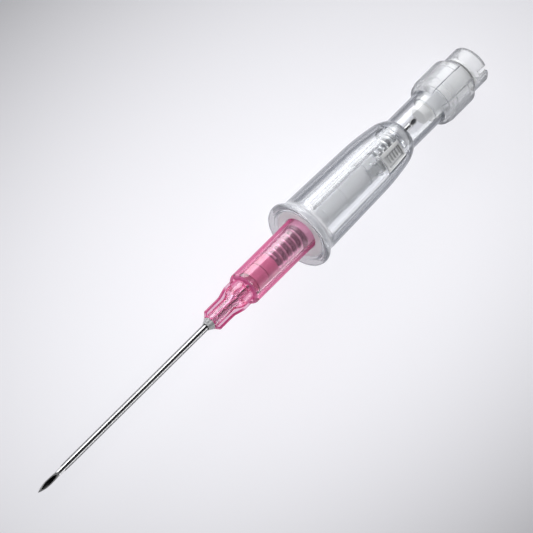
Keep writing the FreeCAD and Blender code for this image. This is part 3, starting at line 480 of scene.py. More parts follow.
# %% Guard, bush
GUARD_R, BAND_R, STEP_R = 2.05, 2.17, 1.96
CAVITY_R, WASHER_SEAT, GUARD_HOLE, BUSH_HOLE = 1.45, 1.67, 0.50, 2.80
plug_r = luer_r(GUARD_FRONT) - 0.05
HOOK_X = 37.55  # where the leaf's hook holds the guard
piece("guard_shell", lathe(rounded([
    (GUARD_FRONT, GUARD_HOLE, 0), (GUARD_FRONT, plug_r, 0.12), (HUB_REAR + 0.05, plug_r, 0.02),
    (HUB_REAR + 0.05, GUARD_COLLAR_R, 0.08), (HUB_REAR + 0.65, GUARD_COLLAR_R, 0.08),
    (HUB_REAR + 0.65, STEP_R, 0.08), (GUARD_FRONT + 5.05, STEP_R, 0.05),
    (GUARD_FRONT + 5.17, GUARD_R, 0.05), (GUARD_FRONT + 9.53, GUARD_R, 0.05),
    (GUARD_FRONT + 9.65, BAND_R, 0.05), (GUARD_FRONT + 14.35, BAND_R, 0.05),
    (GUARD_FRONT + 14.47, GUARD_R, 0.05), (HOOK_X, GUARD_R, 0.03), (HOOK_X, GUARD_R - 0.30, 0.03),
    (HOOK_X + 0.55, GUARD_R - 0.30, 0.03), (HOOK_X + 0.55, GUARD_R, 0.03),
    (GUARD_REAR, GUARD_R, 0.12), (GUARD_REAR, WASHER_SEAT, 0), (GUARD_REAR - 0.8, WASHER_SEAT, 0),
    (GUARD_REAR - 0.8, CAVITY_R, 0), (GUARD_FRONT + 1.5, CAVITY_R, 0.1),
    (GUARD_FRONT + 1.0, GUARD_HOLE, 0)])),
    "guard", "frosted_plastic", "guard_sleeve")
piece("bush_ring", lathe(rounded([
    (BUSH_FRONT, BUSH_HOLE, 0.12), (BUSH_FRONT, BUSH_R, 0.12), (BUSH_REAR, BUSH_R, 0.03),
    (BUSH_REAR, BUSH_HOLE, 0.03)])), "grip", "frosted_plastic", "front_bush")

# %% [markdown]
# ## The clear grip
# Flange, flare, long taper, a rounded drop and a shoulder are one moulding with a thin even
# wall, and two shallow rings run round the lip of the flange's dish. The outside and the
# inside are two curves with the same number of stations, so `walled` can leave out the
# cells of the button's window and close its edges. Four ribs inside guide the guard, and a
# small saddle on two posts carries the leaf that the button bends.

# %% Barrel wall
BARREL_START, TAPER_END, SHOULDER = FLANGE_X + 2.8, FLANGE_X + 16.0, FLANGE_X + 22.7
START_R, END_R, SHOULDER_R, WALL = 4.81, 4.475, 3.83, 0.75
SHOULDER_END_R = 2.95
WINDOW_FRONT, WINDOW_REAR = TAPER_END + 1.1, TAPER_END + 5.8
WINDOW_HALF, WINDOW_R = 1.75, 4.3  # half the window's width, and the radius where it has it
BUTTON_TURN = math.radians(-17)
RIM, RIM_ROUND = 1.0, 0.32
SEAT_R, HOLE_R = 4.17, 2.87  # the bush's seat in front, the chamber's hole behind


def flow_arc(x0, r0, slope, x1, r1, x):
    """Radius at x on the circle that leaves (x0, r0) with the slope and meets (x1, r1)."""
    dx, dr = x1 - x0, r1 - r0
    reach_n = (dx * dx + dr * dr) / (2 * (dr - slope * dx))
    xc, rc = x0 - reach_n * slope, r0 + reach_n
    radius = abs(reach_n) * math.hypot(slope, 1)
    return rc - np.sign(reach_n) * np.sqrt(np.maximum(radius ** 2 - (x - xc) ** 2, 0))


taper = (END_R - START_R) / (TAPER_END - BARREL_START)


def barrel_r(x, offset=0.0):
    """Outside radius of the grip behind the flange: taper, then the round drop."""
    straight = START_R + offset + taper * (x - BARREL_START)
    drop = flow_arc(TAPER_END, END_R + offset, taper, SHOULDER, SHOULDER_R + offset, x)
    return np.where(x <= TAPER_END, straight, drop)


side_x = np.unique(np.concatenate([
    np.linspace(BARREL_START, TAPER_END, 12), np.linspace(TAPER_END, SHOULDER, 26),
    [WINDOW_FRONT, WINDOW_REAR]]))
drop_slope = float((barrel_r(SHOULDER) - barrel_r(SHOULDER - 0.01)) / 0.01)
nose_x = np.linspace(SHOULDER, BARREL_END, 14)[1:]
nose_r = flow_arc(SHOULDER, SHOULDER_R, drop_slope, BARREL_END, SHOULDER_END_R, nose_x)
# Two shallow rings roll over the lip of the dish: x behind the front face, and radius.
lip = np.array([[0.50, 4.20], [0.36, 4.25], [0.27, 4.33], [0.25, 4.42], [0.31, 4.51], [0.40, 4.58],
                [0.42, 4.66], [0.34, 4.74], [0.18, 4.84], [0.07, 4.95], [0.02, 5.08]])
lip = lip + [FLANGE_X, 0]
crown = np.linspace(math.pi, 0, 15)
rim_r = FLANGE_R - RIM_ROUND
rim = curve(FLANGE_X + RIM / 2 + RIM / 2 * np.cos(crown), rim_r + RIM_ROUND * np.sin(crown))
flare_x = np.linspace(FLANGE_X + RIM, BARREL_START, 14)[1:-1]
flare_s = (flare_x - FLANGE_X - RIM) / (BARREL_START - FLANGE_X - RIM)
flare_r = START_R + (rim_r - START_R) * (1 - flare_s) ** 2.2
front_curve = np.vstack([lip, rim, curve(flare_x, flare_r)])
outer_curve = np.vstack([front_curve, curve(side_x, barrel_r(side_x)), curve(nose_x, nose_r)])
station, last = np.arange(len(front_curve)), len(front_curve) - 1
inner_front = curve(
    np.interp(station, [0, 3, last - 5, last],
              [FLANGE_X + 0.55, FLANGE_X + 0.7, BUSH_REAR, BUSH_REAR + 0.01]),
    np.interp(station, [0, last - 5, last], [SEAT_R, SEAT_R, START_R - WALL]))
inner_side = curve(side_x, np.minimum(barrel_r(side_x, -WALL), START_R - WALL))
tail_x = np.linspace(SHOULDER, BARREL_END, len(nose_x))
inner_tail = curve(tail_x, np.full(len(nose_x), HOLE_R))
inner_curve = np.vstack([inner_front, inner_side, inner_tail])


def ring_with_gap(half, inside, outside):
    """Angles round the axis, from -half on, with a station at each edge of a gap."""
    steps = [np.linspace(-half, half, inside), np.linspace(half, 2 * math.pi - half, outside)]
    return np.unique(np.round(np.concatenate(steps), 9))[:-1]


def within(angles, half):
    """True for the angles that lie nearer to zero than half."""
    return np.abs((angles + math.pi) % (2 * math.pi) - math.pi) < half


half_angle = math.asin(WINDOW_HALF / WINDOW_R)
window_angles = ring_with_gap(half_angle, 17, 113)
grip_angles = window_angles + BUTTON_TURN
cell_x = (outer_curve[:-1, 0] + outer_curve[1:, 0]) / 2
in_x = (cell_x > WINDOW_FRONT) & (cell_x < WINDOW_REAR)
in_a = within(window_angles + math.pi / 128, half_angle)
piece("barrel_shell", walled(around(outer_curve, grip_angles), around(inner_curve, grip_angles),
                             ~(in_x[:, None] & in_a)), "grip", "clear_plastic", "barrel")

# %% Guide ribs and the leaf's saddle
RIB_HALF, RIB_LOW = 0.225, 2.25
RIB_FRONT, RIB_REAR = FLANGE_X + 3.3, FLANGE_X + 20.4


def turned_by(points, angle):
    """Points turned about X from +Z towards +Y."""
    c, s = math.cos(angle), math.sin(angle)
    return points @ np.array([[1, 0, 0], [0, c, -s], [0, s, c]])


def plate(x, low, high, half, angle, rows=5, middle=0.0):
    """Flat wall along a spoke: x by height on its two sides, from low to high."""
    share = np.linspace(0, 1, rows)[None, :]
    z = low[:, None] + (high - low)[:, None] * share
    sides = [grid(x[:, None], y, z) for y in (middle - half, middle + half)]
    points, faces = walled(*sides, wrap=False)
    return turned_by(points, angle), faces[:, ::-1]


rib_x = np.linspace(RIB_FRONT, RIB_REAR, 24)
rib_low = np.maximum(RIB_LOW, RIB_LOW + (rib_x - (RIB_REAR - 0.8)) / 2)
ribs = [plate(rib_x, rib_low, barrel_r(rib_x, -WALL + 0.02), RIB_HALF, math.radians(34 + 90 * k))
        for k in range(4)]
piece("guide_ribs", joined(ribs), "grip", "clear_plastic", crease=30, finish="clear_rib")
SADDLE_TOP, SADDLE_LOW, SADDLE_LONG, POST_IN, POST_OUT = 2.58, 2.28, 0.45, 0.70, 1.05
saddle_x = np.linspace(TAPER_END, TAPER_END + SADDLE_LONG, 3)
level = np.ones(3)
saddle_wall = barrel_r(saddle_x, -WALL + 0.02)
posts = [plate(saddle_x, SADDLE_LOW * level, saddle_wall, (POST_OUT - POST_IN) / 2, BUTTON_TURN,
               middle=side * (POST_OUT + POST_IN) / 2) for side in (-1, 1)]
bridge = plate(saddle_x, SADDLE_LOW * level, SADDLE_TOP * level, POST_IN, BUTTON_TURN)
piece("leaf_saddle", joined(posts + [bridge]), "grip", "clear_plastic", crease=30,
      finish="clear_rib")

# %% [markdown]
# ## The button
# A ribbed pad stands in a window in the side of the grip. It follows the grip's curve, so
# its outside is the grip's radius plus a relief: a rail along its upper edge, a frame round
# a shallow well and a row of round ribs in the well. Small lips hold it in the window. The
# window's sides lie on spokes, which close in towards the axis, so the pad is narrower than
# the window by as much as it needs to be pressed without touching them.

# %% Ribbed button
RIBS, RIB_RISE, PROUD, PAD = 7, 0.20, 0.14, 0.62
RAIL_RISE, FRAME_RISE, SINK = 0.34, 0.16, 0.12
END_GAP, SIDE_GAP = 0.12, 0.33  # the window's sides close in on a button that is pressed
pad_front, pad_rear = WINDOW_FRONT + END_GAP, WINDOW_REAR - END_GAP
pad_half = math.asin((WINDOW_HALF - SIDE_GAP) / WINDOW_R)
pad_x = np.linspace(pad_front, pad_rear, 121)
pad_angles = np.linspace(-pad_half, pad_half, 49) + BUTTON_TURN
across = np.linspace(-1, 1, 49)[None, :]
along_pad = ((pad_x - pad_front) / (pad_rear - pad_front))[:, None]


def band(value, low, high, edge):
    """1 between low and high, with smooth flanks of the given width."""
    return smooth_step((value - low) / edge) * smooth_step((high - value) / edge)


well = band(along_pad, 0.10, 0.93, 0.03) * band(across, -0.74, 0.56, 0.06)
wave = smooth_step((np.cos(2 * math.pi * (along_pad * RIBS - 0.1)) + 0.1) / 0.7)
ribbed = band(along_pad, 0.22, 0.88, 0.02) * band(across, -0.40, 0.50, 0.06)
rail = band(across, 0.62, 0.99, 0.05) * band(along_pad, 0.0, 1.0, 0.03)
relief = (FRAME_RISE + (RAIL_RISE - FRAME_RISE) * rail - (FRAME_RISE + SINK) * well
          + RIB_RISE * wave * ribbed * well)
pad_r = barrel_r(pad_x, PROUD - FRAME_RISE)[:, None] + relief
pad_out = turned(pad_x, pad_r, pad_angles)
pad_in = around(curve(pad_x, barrel_r(pad_x, PROUD - PAD)), pad_angles)
lip_half = pad_half * 0.75
lip_angles = np.linspace(-lip_half, lip_half, 13) + BUTTON_TURN


def bent_plate(x0, x1, outside_r, inside_r, angles):
    """Plate that follows the grip, between two offsets from its outside."""
    x = np.linspace(x0, x1, 5)
    sides = [around(curve(x, barrel_r(x, offset)), angles) for offset in (outside_r, inside_r)]
    return walled(*sides, wrap=False)


lip_top, lip_low = -WALL - 0.08, -WALL - 0.38
button_parts = [
    walled(pad_out, pad_in, wrap=False),
    bent_plate(WINDOW_FRONT - 0.35, pad_front + 0.35, lip_top, lip_low, lip_angles),
    bent_plate(pad_front, pad_front + 0.35, PROUD - PAD, lip_top, lip_angles),
    bent_plate(pad_rear - 0.35, WINDOW_REAR + 0.17, lip_top, lip_low, lip_angles),
    bent_plate(pad_rear - 0.35, pad_rear, PROUD - PAD, lip_top, lip_angles)]
piece("button_pad", joined(button_parts), "button", "clear_plastic", "release_button", crease=35,
      finish="ribbed_pad")

# %% [markdown]
# ## Flash chamber, bushing and cap
# Blood that rises in the needle shows in the clear chamber. The needle is glued in a grey
# bushing in the chamber's floor. Behind, a clear cap with two hollow grip wings holds a
# porous plug that lets air out and keeps blood in.

# %% Chamber and bushing
CHAMBER_R, CHAMBER_BORE = 2.85, 2.34
piece("chamber_tube", lathe(rounded([
    (CHAMBER_FRONT, BUSHING_R + 0.02, 0), (CHAMBER_FRONT, CHAMBER_RING_R, 0.05),
    (CHAMBER_FRONT + 0.4, CHAMBER_RING_R, 0.05), (CHAMBER_FRONT + 0.4, CHAMBER_R, 0.02),
    (CHAMBER_REAR, CHAMBER_R, 0.15), (CHAMBER_REAR, CHAMBER_BORE, 0.05),
    (CHAMBER_FRONT + 1.7, CHAMBER_BORE, 0.3), (CHAMBER_FRONT + 1.7, BUSHING_R + 0.02, 0)])),
    "grip", "clear_plastic", "flash_chamber")
piece("bushing_core", lathe(rounded([
    (BUSHING_FRONT, 0.46, 0), (BUSHING_FRONT, BUSHING_R, 0.15), (BUSHING_REAR, BUSHING_R, 0.15),
    (BUSHING_REAR, 0.46, 0)]), ring_angles(96)), "grip", "grey_plastic", "needle_bushing")

# %% Cap body with its well and notch
CAP_R, CAP_PLUG, CAP_WELL, CAP_BORE, WELL = 3.22, 2.29, 2.55, 1.84, 2.8
collar = CHAMBER_REAR + 0.05
skirt = collar + 1.5
NOTCH_TURN, NOTCH_HALF, NOTCH_X = math.radians(-34.6), 0.5 / 2.9, CAP_REAR - 1.7
AHEAD, BEHIND = 60, 24
cap_out = rounded([
    (CAP_NOSE, 2.0, 0), (CAP_NOSE + 0.3, CAP_PLUG, 0.1), (collar, CAP_PLUG, 0.02),
    (collar, CHAMBER_R, 0.05), (skirt, CHAMBER_R, 0.04), (skirt, CAP_R, 0.12), (NOTCH_X, CAP_R, 0),
    (CAP_REAR, CAP_R, 0.28), (CAP_REAR, CAP_WELL + 0.05, 0)], closed=False)
cap_in = rounded([
    (CAP_NOSE, CAP_BORE, 0), (CAP_REAR - WELL, CAP_BORE, 0.02), (CAP_REAR - WELL, CAP_WELL, 0.08),
    (NOTCH_X, CAP_WELL, 0), (CAP_REAR, CAP_WELL, 0)], closed=False)


def matched(profile, split_x, ahead, behind):
    """The profile with a set number of points before and after a place along X."""
    first = np.argmax(profile[:, 0] >= split_x - 1e-6)
    out = []
    for part, count in ((profile[:first + 1], ahead), (profile[first:], behind)):
        length = np.concatenate([[0], np.cumsum(np.linalg.norm(np.diff(part, axis=0), axis=1))])
        extra = np.linspace(0, length[-1], count - len(part) + 2)[1:-1]
        s = np.sort(np.concatenate([length, extra]))
        out.append(curve(*(np.interp(s, length, part[:, k]) for k in (0, 1))))
    return np.vstack([out[0][:-1], out[1]])


cap_out, cap_in = (matched(c, NOTCH_X, AHEAD, BEHIND) for c in (cap_out, cap_in))
cap_angles = ring_with_gap(NOTCH_HALF, 9, 121)
cut_a = within(cap_angles + 1e-3, NOTCH_HALF)
cut_x = np.arange(len(cap_out) - 1) >= AHEAD - 1
cap_outside, cap_inside = (around(c, cap_angles + NOTCH_TURN) for c in (cap_out, cap_in))
cap_shape = walled(cap_outside, cap_inside, ~(cut_x[:, None] & cut_a))

# %% Grip wings
WING_FRONT, WING_REAR, WING_WALL = CHAMBER_REAR - 1.65, CHAMBER_REAR + 5.65, 0.45
wing_out = matched(rounded([
    (WING_FRONT, WING_R - 0.93, 0), (WING_FRONT + 0.45, WING_R - 0.25, 0.5),
    (WING_FRONT + 1.5, WING_R, 1.0), (WING_REAR - 0.9, WING_R, 0.8),
    (WING_REAR, CAP_R - 0.1, 0)], closed=False), WING_FRONT + 1.5, 24, 30)
wing_back = WING_REAR - 1.45
wing_in = matched(rounded([
    (WING_FRONT + 0.42, WING_R - 0.93, 0), (WING_FRONT + 0.8, WING_R - 0.65, 0.4),
    (WING_FRONT + 1.6, WING_R - WING_WALL, 0.6), (wing_back, WING_R - WING_WALL, 0.25),
    (wing_back, CAP_R - 0.1, 0)], closed=False), WING_FRONT + 1.6, 24, 30)
wings = []
for flip in (0, math.pi):
    a = np.radians(np.linspace(22, 158, 57)) + flip
    wings.append(walled(around(wing_out, a), around(wing_in, a), wrap=False))
piece("cap_shell", joined([cap_shape] + wings), "cap", "clear_plastic", "vent_cap",
      finish="hazy_cap")

# %% Porous plug
PRESSED, TIP_R, GROOVE = PLUG_R + 0.05, 1.42, 0.2
grooves = [(CAP_NOSE + place + step, PRESSED - deep, 0.03) for place in (2.6, 4.3)
           for step, deep in ((0, 0), (0.09, GROOVE), (0.18, 0))]
piece("plug_core", lathe(rounded([
    (PLUG_NOSE, 0, 0), (PLUG_NOSE, TIP_R, 0.22), (CAP_NOSE - 0.15, TIP_R, 0.08),
    (CAP_NOSE, PLUG_R, 0.08), (CAP_NOSE + 0.3, PLUG_R, 0.03), (CAP_NOSE + 0.4, PRESSED, 0.03),
    *grooves, (PLUG_REAR - 0.1, PRESSED, 0.04), (PLUG_REAR, PLUG_R, 0), (PLUG_REAR, 0, 0)],
    closed=False)), "cap", "porous_plug", "vent_plug")

# %% [markdown]
# ## Finishes as arithmetic
# The finishes are built from nodes, but long chains of Math nodes are hard to read. A small
# class wraps one socket and answers to + - * and the rest, so a finish is written as a
# formula, and one method makes any other kind of node. All patterns read Object
# coordinates, scaled to millimetres, because every piece keeps its place in its mesh.

# %% Socket arithmetic
class Signal:
    """An output socket that can be added, multiplied and so on."""

    def __init__(self, finish, socket):
        self.finish, self.socket = finish, socket

    def clamp(self, low=0.0, high=1.0):
        return self.larger(low).smaller(high)


def math_method(operation, swapped=False):
    """A method of Signal that adds one Math node."""
    def method(self, other=0.0):
        first, second = (other, self) if swapped else (self, other)
        return self.finish.node("Math", {"operation": operation}, {0: first, 1: second})
    return method


for key, operation in {"__add__": "ADD", "__radd__": "ADD", "__sub__": "SUBTRACT",
                       "__mul__": "MULTIPLY", "__rmul__": "MULTIPLY", "__pow__": "POWER",
                       "size": "ABSOLUTE", "larger": "MAXIMUM", "smaller": "MINIMUM"}.items():
    setattr(Signal, key, math_method(operation))
Signal.__rsub__ = math_method("SUBTRACT", swapped=True)


class Finish:
    """A node tree with one method that makes any node."""

    def __init__(self, name, tree=None):
        if tree is None:
            self.material = bpy.data.materials.new(name)
            self.material.use_nodes = True
            tree = self.material.node_tree
        self.tree = tree
        tree.nodes.clear()

    def node(self, kind, settings=None, values=None, out=0):
        """A new shader node: its settings, its inputs as numbers or Signals, and one output."""
        made = self.tree.nodes.new("ShaderNode" + kind)
        for key, value in (settings or {}).items():
            if key == "stops":
                ramp = made.color_ramp.elements
                while len(ramp) < len(value):
                    ramp.new(0.5)
                for element, (place, colour) in zip(ramp, value):
                    element.position = place
                    element.color = (*colour, 1.0)
            else:
                setattr(made, key, value)
        for key, value in (values or {}).items():
            if isinstance(value, Signal):
                self.tree.links.new(value.socket, made.inputs[key])
            else:
                made.inputs[key].default_value = value
        return Signal(self, made.outputs[out]) if made.outputs else made

    def mm(self, stretch=(1, 1, 1), shift=(0, 0, 0)):
        """Object coordinates in millimetres, stretched along X, Y and Z."""
        place = self.node("TexCoord", out="Object")
        scale = tuple(s / MM for s in stretch)
        return self.node("Mapping", {"vector_type": "POINT"},
                         {"Vector": place, "Scale": scale, "Location": shift})

    def axis(self, number, place=None):
        """The x, y or z (0, 1 or 2) of Object coordinates in millimetres or of a vector."""
        return self.node("SeparateXYZ", None, {0: place or self.mm()}, out=number)

    def ramp(self, value, low, high, first=0.0, last=1.0, kind="LINEAR"):
        """Value from first to last while another goes from low to high."""
        return self.node("MapRange", {"interpolation_type": kind}, {
            "Value": value, "From Min": low, "From Max": high, "To Min": first, "To Max": last})

    def noise(self, vector, scale, detail=2.0, rough=0.5):
        return self.node("TexNoise", {"noise_dimensions": "3D"},
                         {"Vector": vector, "Scale": scale, "Detail": detail, "Roughness": rough})

    def mix(self, share, first, second):
        """Colour between two colours by a value."""
        return self.node("Mix", {"data_type": "RGBA", "blend_type": "MIX"},
                         {0: share, 6: (*first, 1.0) if isinstance(first, tuple) else first,
                          7: (*second, 1.0) if isinstance(second, tuple) else second}, out=2)

    def slant(self, start, end):
        """0 where the surface faces the eye, rising smoothly to 1 at a slant.

        The finishes use it for painted shade on edges seen at a slant, and to fade gloss there.
        """
        facing = self.node("LayerWeight", None, {"Blend": 0.5}, out="Facing")
        return self.ramp(facing, start, end, kind="SMOOTHSTEP")

    def bump(self, height, depth, strength):
        """Normal from a height of 0 to 1 that stands for depth millimetres."""
        return self.node("Bump", None,
                         {"Height": height, "Distance": depth * MM, "Strength": strength})

    def surface(self, lets_through=None, inside=None, skin=None, **values):
        """Principled shader on the output, from plain names such as base_color.

        A see-through finish names the share of light that it lets through. Shadow rays
        then cross it straight, because a renderer's shadow rays don't bend through walls.
        inside is a colour and a density: light that stays longer in the plastic, as in a
        rim or a step, takes more of that colour. skin is a share and a colour: that share of a
        satin finish in that colour is mixed in, as painted shade on slanted edges, rims and steps.
        """
        names = {key: key.replace("_", " ").title() for key in values}
        names.update({"ior": "IOR", "coat_ior": "Coat IOR",
                      "specular_ior_level": "Specular IOR Level"})
        shader = self.node("BsdfPrincipled", None, {
            names[key]: (*value, 1.0) if isinstance(value, tuple) else value
            for key, value in values.items()})
        if skin:
            satin = self.node("BsdfPrincipled", None,
                              {"Base Color": (*skin[1], 1.0), "Roughness": 0.35})
            shader = self.node("MixShader", None, {0: skin[0], 1: shader, 2: satin})
        if lets_through:
            clear = self.node("BsdfTransparent", None, {"Color": (*lets_through, 1.0)})
            shadow = self.node("LightPath", out="Is Shadow Ray")
            shader = self.node("MixShader", None, {0: shadow, 1: shader, 2: clear})
        ends = {"Surface": shader}
        if inside:
            ends["Volume"] = self.node("VolumeAbsorption", None,
                                       {"Color": (*inside[0], 1.0), "Density": inside[1]})
        self.node("OutputMaterial", None, ends)
        return self.material


finishes = {}


def grained(name, scale, first, second, rough, spread, depth=0.0, **more):
    """A finish whose colour and roughness follow one noise, and its bumps if it has depth."""
    f = Finish(name + "_finish")
    grain = f.noise(f.mm(), scale, 3.0)
    if depth:
        more["normal"] = f.bump(grain, depth, 0.4)
    finishes[name] = f.surface(base_color=f.mix(grain, first, second),
                               roughness=rough + grain * spread, **more)


# %% [markdown]
# ## Clear plastic
# The grip, the chamber, the cap and the button are moulded in glass-clear plastic. A
# perfect surface would look like a computer's idea of it. Moulding leaves faint flow waves
# along the piece and a very fine change of gloss, so a long noise bends the normal a little
# and a short one moves the roughness. The dark outlines of a clear tube are painted shade:
# where the surface is seen at a slant the tint goes nearly black, and the outer coat's gloss
# fades with it. At slants and on the flange's rounded rim a share of grey satin is mixed in
# as painted shade. The index is set lower than the real plastic's 1.5, because a renderer
# that follows few bounces would otherwise black out what lies inside. The button's hollows
# get painted shade: their colour darkens by how little of the sky they see.

# %% Clear plastic finish
f = Finish("clear_plastic_finish")
flow = f.noise(f.mm((0.10, 0.45, 0.45)), 1.0, 2.0)
haze = f.noise(f.mm(), 1.6, 3.0)
off_rim = f.ramp(f.axis(0), FLANGE_X + 0.5, FLANGE_X + 3.0, kind="SMOOTHSTEP")
# Painted shade: the base colour goes nearly black where the surface is seen at a slant, except on
# the flange's rim, and a share of grey satin is mixed in at slants and on the rim.
finishes["clear_plastic"] = f.surface(
    base_color=f.mix(f.slant(0.36, 0.68) * off_rim,
                     f.mix(haze, (0.94, 0.945, 0.95), (0.97, 0.975, 0.98)), (0.06, 0.07, 0.09)),
    roughness=0.012 + haze * 0.04, normal=f.bump(flow, 0.04, 0.5), ior=1.27,
    transmission_weight=1.0, coat_weight=1 - f.slant(0.36, 0.60), coat_ior=1.5, coat_roughness=0.10,
    lets_through=(0.93, 0.93, 0.94), inside=((0.72, 0.75, 0.80), 150.0),
    skin=((f.slant(0.50, 0.76) * 0.30 + (1 - off_rim) * 0.34).clamp(), (0.58, 0.59, 0.62)))
f = Finish("hazy_cap_finish")
haze = f.noise(f.mm(), 1.2, 3.0)
flow = f.noise(f.mm((0.2, 0.6, 0.6)), 1.0, 2.0)
# Painted shade: the cap's edges seen at a slant and its rear rim darken to near black, and a share
# of grey satin is mixed in at slants.
cap_rim_painted_shade = f.ramp(f.axis(0), CAP_REAR - 0.26, CAP_REAR - 0.14, last=0.9)
finishes["hazy_cap"] = f.surface(
    base_color=f.mix((f.slant(0.38, 0.72) + cap_rim_painted_shade).clamp(),
                     f.mix(haze, (0.90, 0.905, 0.91), (0.95, 0.955, 0.96)), (0.18, 0.185, 0.20)),
    roughness=0.08 + haze * 0.10, normal=f.bump(flow, 0.04, 0.5), ior=1.22,
    transmission_weight=0.78, specular_ior_level=0.35, lets_through=(0.88, 0.88, 0.89),
    skin=(f.slant(0.44, 0.72) * 0.30, (0.42, 0.43, 0.46)), inside=((0.74, 0.77, 0.82), 120.0))
f = Finish("ribbed_pad_finish")
haze = f.noise(f.mm(), 2.0, 3.0)
# Painted shade: the colour darkens to near black in the pad's hollows, by how little of the sky the
# ambient occlusion finds open.
open_to_light = f.node("AmbientOcclusion", {"samples": 8, "only_local": True},
                       {"Distance": 0.45 * MM}, out=1)
finishes["ribbed_pad"] = f.surface(
    base_color=f.mix(open_to_light ** 1.6, (0.12, 0.125, 0.135),
                     f.mix(haze, (0.86, 0.865, 0.87), (0.92, 0.925, 0.93))),
    roughness=0.10 + haze * 0.08, ior=1.36, transmission_weight=0.45, coat_weight=0.8, coat_ior=1.8,
    coat_roughness=0.08, lets_through=(0.75, 0.75, 0.76))
f = Finish("clear_rib_finish")
haze = f.noise(f.mm(), 1.6, 3.0)
# Painted shade: the ribs' colour goes grey where they are seen at a slant.
finishes["clear_rib"] = f.surface(
    base_color=f.mix(f.slant(0.40, 0.80), f.mix(haze, (0.94, 0.95, 0.96), (0.97, 0.975, 0.98)),
                     (0.45, 0.46, 0.48)),
    roughness=0.02 + haze * 0.05, ior=1.16, transmission_weight=1.0,
    lets_through=(0.95, 0.95, 0.96))
# Painted shade: the opener tube is coloured dark grey, so the gaps between the spring's turns read
# dark.
grained("opener_painted_shade", 2.0, (0.16, 0.14, 0.15), (0.24, 0.21, 0.22), 0.20, 0.15,
        ior=1.50, transmission_weight=0.35, lets_through=(0.5, 0.5, 0.5))

# %% [markdown]
# ## Pink plastic
# The hub is the same kind of moulding in a see-through pink, the colour code of its size.
# The pigment tints light each time it passes a wall, so the middle is pale. The crimson of
# the slanted edges is painted shade, and so is the crimson over a narrow band at the corners
# of the fins' crests and on the face of the step, which two masks find from the places of the
# crest and the step; a share of crimson satin is mixed in there too. A little of the light is
# scattered, which a transmission just under one gives.

# %% Pink plastic finish
f = Finish("pink_plastic_finish")
cloud = f.noise(f.mm((0.5, 1, 1)), 0.9, 3.0)
flow = f.noise(f.mm((0.15, 0.8, 0.8)), 1.0, 2.0)
x, y, z = f.axis(0), f.axis(1).size(), f.axis(2).size()
crest_at = (f.ramp(x, HUB_NOSE, HUB_NOSE + 0.75, NOSE_R, FIN_LOW)
            + f.ramp(x, HUB_NOSE + 4.1, HUB_NOSE + 6.0, 0, FIN_HIGH - FIN_LOW))
# Masks for painted shade at the corners of the fins' crests and on the face of the step.
fin_crest_painted_shade = (f.ramp(y.larger(z) - crest_at, -0.42, -0.34) * f.ramp(y.smaller(z), 0.16, 0.24)
            * f.ramp(x, HUB_NOSE + 6.2, HUB_NOSE + 5.6))
step_painted_shade = f.ramp(x, STEP_X - 0.04, STEP_X) * f.ramp(x, STEP_X + 0.30, STEP_X + 0.08)
# Painted shade: the colour goes to crimson at slanted edges, fin crest corners and the step's face,
# with a share of crimson satin mixed in there.
finishes["pink_plastic"] = f.surface(
    base_color=f.mix((f.slant(0.36, 0.68) + fin_crest_painted_shade).clamp(),
                     f.mix(cloud, (0.94, 0.66, 0.80), (0.97, 0.74, 0.86)), (0.50, 0.04, 0.18)),
    roughness=0.01 + cloud * 0.03, normal=f.bump(flow, 0.02, 0.4), ior=1.16,
    transmission_weight=0.93, coat_weight=1 - f.slant(0.36, 0.60), coat_ior=1.75,
    coat_roughness=0.10, lets_through=(0.95, 0.76, 0.86), inside=((0.95, 0.42, 0.66), 260.0),
    skin=((f.slant(0.46, 0.70) * 0.5 + fin_crest_painted_shade * 0.45 + step_painted_shade * 0.8).clamp(),
          (0.74, 0.12, 0.35)))

# %% [markdown]
# ## Frosted plastic
# The guard and the bush come from a spark-worn mould that leaves a fine even grain. It
# scatters what is seen through it, so spring and needle show only as soft shades.

# %% Frosted plastic finish
f = Finish("frosted_plastic_finish")
grain = f.noise(f.mm(), 9.0, 3.0, 0.6)
patch = f.noise(f.mm((0.5, 1, 1)), 0.7, 2.0)
finishes["frosted_plastic"] = f.surface(
    base_color=f.mix(patch, (0.86, 0.865, 0.87), (0.93, 0.935, 0.94)),
    roughness=0.26 + grain * 0.16, normal=f.bump(grain, 0.012, 0.4), ior=1.47,
    transmission_weight=0.40, coat_weight=0.8, coat_ior=1.6, coat_roughness=0.22,
    lets_through=(0.60, 0.60, 0.61))

# %% [markdown]
# ## Steel
# The needle is drawn through a die and polished, which leaves hair lines along its length:
# noise squeezed across the axis and stretched along it. The bore has painted shade, near
# black at the point and lighter towards the rear, and the ground faces lie between the bore's
# radius and the outside's, so the distance from the axis tells the three apart. The ground
# faces are painted lighter towards the rear. The coils are bright wire. The leaf is satin,
# because a flat strip with a mirror's finish would show nothing but the dark sky.

# %% Steel finishes
f = Finish("steel_finish")
lines = f.noise(f.mm((0.05, 5, 5)), 1.0, 2.0)
stain = f.noise(f.mm((0.2, 1, 1)), 0.8, 2.0)
radius = f.node("VectorMath", {"operation": "LENGTH"}, {0: f.mm((0, 1, 1))}, out=1)
outside_bore = f.ramp(radius, NEEDLE_BORE + 0.002, NEEDLE_BORE + 0.015)
drawn = f.ramp(radius, 0.435, 0.445)
painted_light_rearward = f.ramp(f.axis(0), 0.0, 20.0)
skin_colour = f.mix(stain, (0.62, 0.62, 0.63), (0.72, 0.72, 0.72))
ground_colour = f.mix(painted_light_rearward, (0.60, 0.60, 0.61), (0.80, 0.80, 0.80))
